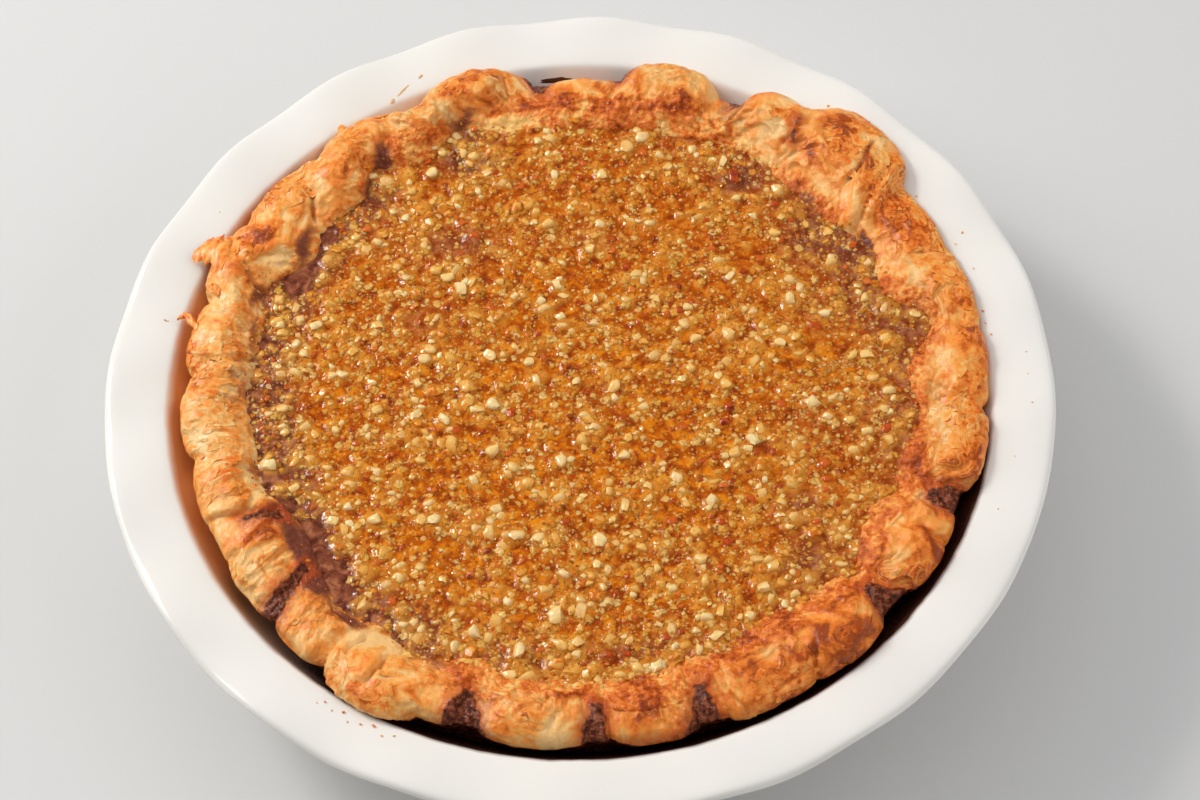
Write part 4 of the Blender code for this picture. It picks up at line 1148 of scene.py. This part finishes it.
# ------------------------------------------------------------------------------------------- pecans
# Chopped pecan: pale yellow meat, rounded lobes and cut faces, glazed with syrup that darkens it where
# it dips in, and thin pieces with the red-brown skin still on. The oven set them into the custard.

bpy.context.view_layer.update()
graph = bpy.context.evaluated_depsgraph_get()
tree_of_fill = bvhtree.BVHTree.FromObject(custard, graph)
tree_of_crust = bvhtree.BVHTree.FromObject(crust, graph)
tree_of_dish = bvhtree.BVHTree.FromObject(dish, graph)


ABOVE_ALL = 200.0  # mm, where the rays that feel for the surface start


def surface_under(x, y, trees):
    """The height in mm of whichever surface is on top there."""
    found = []
    for hit_tree in trees:
        hit = hit_tree.ray_cast(Vector((x * MM, y * MM, ABOVE_ALL * MM)), Vector((0, 0, -1)))[0]
        if hit:
            found.append(hit.z / MM)
    return max(found)


def chopped_shapes(kinds, subdivisions, cuts, seed):
    """Unit lumps, from rounded to nearly square, with flat cut faces, as (points, faces)."""
    draw = random.Random(seed)
    shapes = []
    for kind in range(kinds):
        bpy.ops.mesh.primitive_ico_sphere_add(subdivisions=subdivisions, radius=0.5)
        lump = bpy.context.object
        points = places(lump) * MM
        points /= np.linalg.norm(points, axis=1, keepdims=True)
        own_part = Vector((7.0 * kind, seed, 0.0))
        swollen = [1.0 + 0.42 * noise.noise(2.2 * Vector(p) + own_part) for p in points.tolist()]
        squareness = draw.uniform(2.4, 5.0)
        reach = 0.4 / (np.abs(points) ** squareness).sum(axis=1) ** (1.0 / squareness)
        points = points * (reach * np.array(swollen))[:, None]
        for _ in range(cuts):
            facing = np.array([draw.gauss(0.0, 1.0) for _ in range(3)])
            facing /= np.linalg.norm(facing)
            past = points @ facing - draw.uniform(0.22, 0.4)
            points -= np.maximum(past, 0.0)[:, None] * facing
        points /= 2.0 * np.abs(points).max()
        faces = np.array([face.vertices for face in lump.data.polygons])
        mesh = lump.data
        bpy.data.objects.remove(lump)
        bpy.data.meshes.remove(mesh)
        shapes.append((points, faces))
    return shapes


def scattered(name, spots, shapes, flat, lift, seed, trees):
    """One piece with a lump at each place, turned and squashed at random, and set into what is under it."""
    draw = random.Random(seed)
    all_points = []
    all_faces = []
    tones = []
    dips = []
    count = 0
    for x, y, size in spots:
        points, faces = draw.choice(shapes)
        turn_z = draw.uniform(0.0, 2.0 * math.pi)
        tilt = draw.gauss(0.0, 0.25)
        sizes = np.array([1.0, draw.uniform(0.6, 0.95), draw.uniform(*flat)]) * size
        local = points * sizes
        c, s = math.cos(tilt), math.sin(tilt)
        local = local @ np.array([[c, 0, -s], [0, 1, 0], [s, 0, c]])
        c, s = math.cos(turn_z), math.sin(turn_z)
        local = local @ np.array([[c, s, 0], [-s, c, 0], [0, 0, 1]])
        level = surface_under(x, y, trees)
        base = level + draw.uniform(*lift) * size - float(local[:, 2].max())
        all_points.append(local + (x, y, base))
        all_faces.append(faces + count)
        count += len(points)
        tones.append(np.full(len(points), draw.random()))
        dips.append(np.clip((local[:, 2] + base - level + 0.1 * size) / (0.28 * size), 0.0, 1.0))
    piece = from_points(name, np.concatenate(all_points), np.concatenate(all_faces).tolist())
    piece.data.set_sharp_from_angle(angle=math.radians(48.0))
    paint(piece, "tone", np.concatenate(tones))
    paint(piece, "dry", np.concatenate(dips))
    return piece


def nut_material(name, tones, soaked, roughness):
    """Pecan meat or skin: each piece its own tone, darker with syrup towards its foot."""
    material, tree, shader = new_material(
        name, Roughness=roughness, IOR=1.46, Subsurface_Weight=0.2, Subsurface_Scale=0.0012,
        Subsurface_Radius=(1.0, 0.6, 0.2), Coat_Weight=0.6, Coat_Roughness=0.04)
    object_place = add(tree, "TexCoord", output="Object")
    tone_here = add(tree, "Attribute", output="Fac", attribute_name="tone")
    dry_here = add(tree, "Attribute", output="Fac", attribute_name="dry")
    grain = add(tree, "TexNoise", {"Vector": object_place, "Scale": per_mm(1.3), "Detail": 3.0})
    by_grain = add(tree, "MapRange", {0: grain, 1: 0.3, 2: 0.7, 3: -0.25, 4: 0.25})
    tone = add(tree, "Math", {0: tone_here, 1: by_grain}, operation="ADD")
    meat = add(tree, "ValToRGB", {0: tone}, stops=tones)
    dipped = add(tree, "Math", {0: dry_here, 1: by_grain}, operation="ADD")
    wet_share = add(tree, "MapRange", {0: dipped, 1: 0.1, 2: 1.0, 3: 0.92, 4: 0.0})
    wetted = add(tree, "Mix", {0: wet_share, 6: meat, 7: soaked}, 2, data_type="RGBA")
    uneven = add(tree, "Bump", {"Strength": 0.6, "Distance": 0.45 * MM, "Height": grain})
    connect(tree, shader, Base_Color=wetted, Normal=uneven, Coat_Normal=uneven)
    return material


MEAT_TONES = ((0.0, "#FFE4A8"), (0.4, "#FFD68A"), (0.7, "#FAC468"), (0.9, "#EA9E3C"), (1.0, "#D26E1A"))
AMBER_TONES = ((0.0, "#FDD68A"), (0.4, "#F6BE5C"), (0.75, "#E89832"), (1.0, "#D26A16"))
SKIN_TONES = ((0.0, "#F58A30"), (0.45, "#E0641C"), (0.8, "#C84A14"), (1.0, "#70281C"))
CHOP_TONES = ((0.0, "#F4C272"), (0.4, "#E69C3C"), (0.8, "#D4741A"), (1.0, "#BE5010"))
meat = nut_material("chopped_pecan_meat", MEAT_TONES, "#DC8A1C", 0.16)
amber_meat = nut_material("glazed_pecan_meat", AMBER_TONES, "#D47C14", 0.16)
fine_meat = nut_material("fine_pecan_meat", CHOP_TONES, "#C06404", 0.16)
skin = nut_material("pecan_skin", SKIN_TONES, "#B04A10", 0.14)
coarse_shapes = chopped_shapes(18, 2, 4, 21)
fine_shapes = chopped_shapes(8, 1, 1, 22)
NUTS = (  # name, places, shapes, how flat, how far each stands out of what it lies in, seed, material
    ("large_pecans", large, coarse_shapes, (0.45, 0.75), (0.08, 0.24), 31, meat),
    ("medium_pecans", middling, coarse_shapes, (0.5, 0.8), (0.02, 0.16), 32, amber_meat),
    ("small_pecans", small, coarse_shapes, (0.6, 0.9), (-0.02, 0.14), 36, fine_meat),
    ("pecan_chop", chop, fine_shapes, (0.6, 0.9), (0.02, 0.2), 33, fine_meat),
    ("pecan_skins", skins, coarse_shapes, (0.35, 0.6), (0.06, 0.16), 34, skin),
)
for name, spots, shapes, flat, lift, seed, material in NUTS:
    nuts = scattered(name, spots, shapes, flat, lift, seed, (tree_of_fill, tree_of_crust))
    finished(nuts, name, material)

# Bubbles that set in the syrup as it cooled: thin shiny domes.
bubble_skin = new_material("set_syrup_bubble", Base_Color=linear("#A85A14"), Roughness=0.06, IOR=1.46)[0]
dome_shapes = chopped_shapes(3, 1, 0, 23)
domed = scattered("syrup_bubbles", bubbles, dome_shapes, (0.8, 1.0), (0.2, 0.4), 35, (tree_of_fill,))
finished(domed, "syrup_bubbles", bubble_skin)

# -------------------------------------------------------------------------------- crumbs and splashes
# Crumbs of crust lie on the flange, and drops of syrup and butter that ran down the well baked on.

CRUMBS = (  # bearing, radius, and size of each crumb
    (39, 123.2, 0.9), (40.4, 122.8, 0.7), (58.5, 118.4, 1), (67, 122.8, 0.8), (68.2, 119.2, 0.8),
    (73, 120.2, 0.7), (80, 118, 0.9), (82, 117.8, 0.7), (84, 118.4, 0.8), (87.5, 127, 0.5),
    (91, 126.6, 0.5), (95.5, 127.2, 0.5), (103.5, 123.5, 0.5), (112, 122.5, 0.5), (206, 119.6, 0.9),
    (207.4, 121, 0.7), (209, 119.2, 1.1), (210.6, 120.4, 0.8), (212.2, 121.5, 0.6), (213.4, 119.6, 0.9),
    (214.8, 120.8, 0.7), (216.2, 119.8, 0.8), (217, 121.2, 0.6), (283.5, 120.4, 0.5),
    (302.5, 122.5, 0.5),
)
SMEARS = (  # bearing, radius, length and width in mm, how far it is turned from the circle, tone (0 dark)
    (358.6, 113.9, 12, 1.1, 0, 0.1), (8, 113.4, 4.4, 0.9, 0.1, 0.2), (354.3, 113.5, 1.4, 1, 0.3, 0.1),
    (356.5, 112.6, 2.2, 1.2, 0.2, 0.3), (3, 112.8, 1.4, 1, 0, 0.2), (4.6, 112.4, 1.2, 0.9, 0.5, 0.1),
    (333.4, 117.4, 2.2, 1.5, 0.5, 0.95), (335.6, 119.4, 6, 0.8, 0.45, 0.95),
    (338.8, 121.8, 2, 1, 0.4, 0.9), (283.5, 121.2, 1.6, 0.7, 1.2, 0.8),
)
crumb_shapes = chopped_shapes(5, 1, 2, 24)
loose = scattered("pastry_crumbs", at_bearing(CRUMBS), crumb_shapes, (0.5, 0.9), (0.4, 0.6), 37,
                  (tree_of_dish,))
finished(loose, "pastry_crumbs", scale)

draw = random.Random(51)
all_points = []
all_faces = []
tones = []
SIDES = 14
for bearing, radius, length, width, lean, tone in SMEARS:
    angle = math.radians(bearing)
    ragged = np.array([draw.uniform(0.7, 1.15) for _ in range(SIDES)])
    around = np.arange(SIDES) * 2.0 * math.pi / SIDES
    start = len(all_points)
    for size, up in ((1.0, -0.15), (0.8, 0.12), (0.4, 0.2), (0.0, 0.22), (0.0, -0.3)):
        for k in range(SIDES if size else 1):
            a = 0.5 * length * size * ragged[k] * math.cos(around[k]) if size else 0.0
            b = 0.5 * width * size * ragged[k] * math.sin(around[k]) if size else 0.0
            along = a * math.cos(lean) - b * math.sin(lean)
            outwards = a * math.sin(lean) + b * math.cos(lean)
            here = angle + along / radius
            x = (radius + outwards) * math.sin(here)
            y = (radius + outwards) * math.cos(here)
            all_points.append((x, y, surface_under(x, y, (tree_of_dish,)) + up))
            tones.append(tone)
    all_faces += ring_faces(start, SIDES, 3)
drops = from_points("baked_on_drops", np.array(all_points), all_faces)
paint(drops, "tone", tones)

# Sugar and butter baked on to the glaze: a hard satin film, from dark brown to butter yellow.
baked_on, tree, shader = new_material("baked_on_sugar", Roughness=0.3, IOR=1.48)
tone_here = add(tree, "Attribute", output="Fac", attribute_name="tone")
burned = add(tree, "ValToRGB", {0: tone_here}, stops=(
    (0.0, "#3A2018"), (0.3, "#6E4028"), (0.8, "#D8A878"), (1.0, "#EBC890")))
connect(tree, shader, Base_Color=burned)
finished(drops, "baked_on_drops", baked_on)

# ------------------------------------------------------------------------------------ floor and light
# A plain pale worktop, and soft daylight from a window on the left.

bpy.ops.mesh.primitive_plane_add(size=4.0)
floor = bpy.context.object
floor.name = "floor"
floor.data.materials.append(new_material("pale_worktop", Base_Color=linear("#D9D9D8"), Roughness=0.6)[0])


def add_window(name, location, size, power, colour):
    lamp = bpy.data.lights.new(name, "AREA")
    lamp.shape = "RECTANGLE"
    lamp.size, lamp.size_y = size
    lamp.energy = power
    lamp.color = linear(colour)[:3]
    window = bpy.data.objects.new(name, lamp)
    window.location = location
    towards_pie = Vector((0, 0, 0.03)) - window.location
    window.rotation_euler = towards_pie.to_track_quat("-Z", "Y").to_euler()
    bpy.context.scene.collection.objects.link(window)
    return window


add_window("left_window", (-1.2, 0.4, 0.85), (0.95, 0.85), 7.5, "#FFFDF8")
add_window("bright_pane", (-1.0, 0.7, 1.0), (0.36, 0.3), 9.0, "#FFFDFA")
wall = add_window("right_wall", (1.3, -0.25, 0.8), (2.0, 1.6), 12.0, "#FDFCFC")
wall.visible_glossy = False
ceiling = add_window("ceiling_bounce", (-0.45, 0.4, 1.8), (3.0, 3.0), 23.5, "#FDFCFC")
ceiling.visible_glossy = False
world = bpy.data.worlds.new("room")
bpy.context.scene.world = world
world.use_nodes = True
sky = world.node_tree.nodes["Background"]
sky.inputs["Color"].default_value = linear("#ECEEF4")
sky.inputs["Strength"].default_value = 0.13
bpy.context.scene.view_settings.view_transform = "Standard"
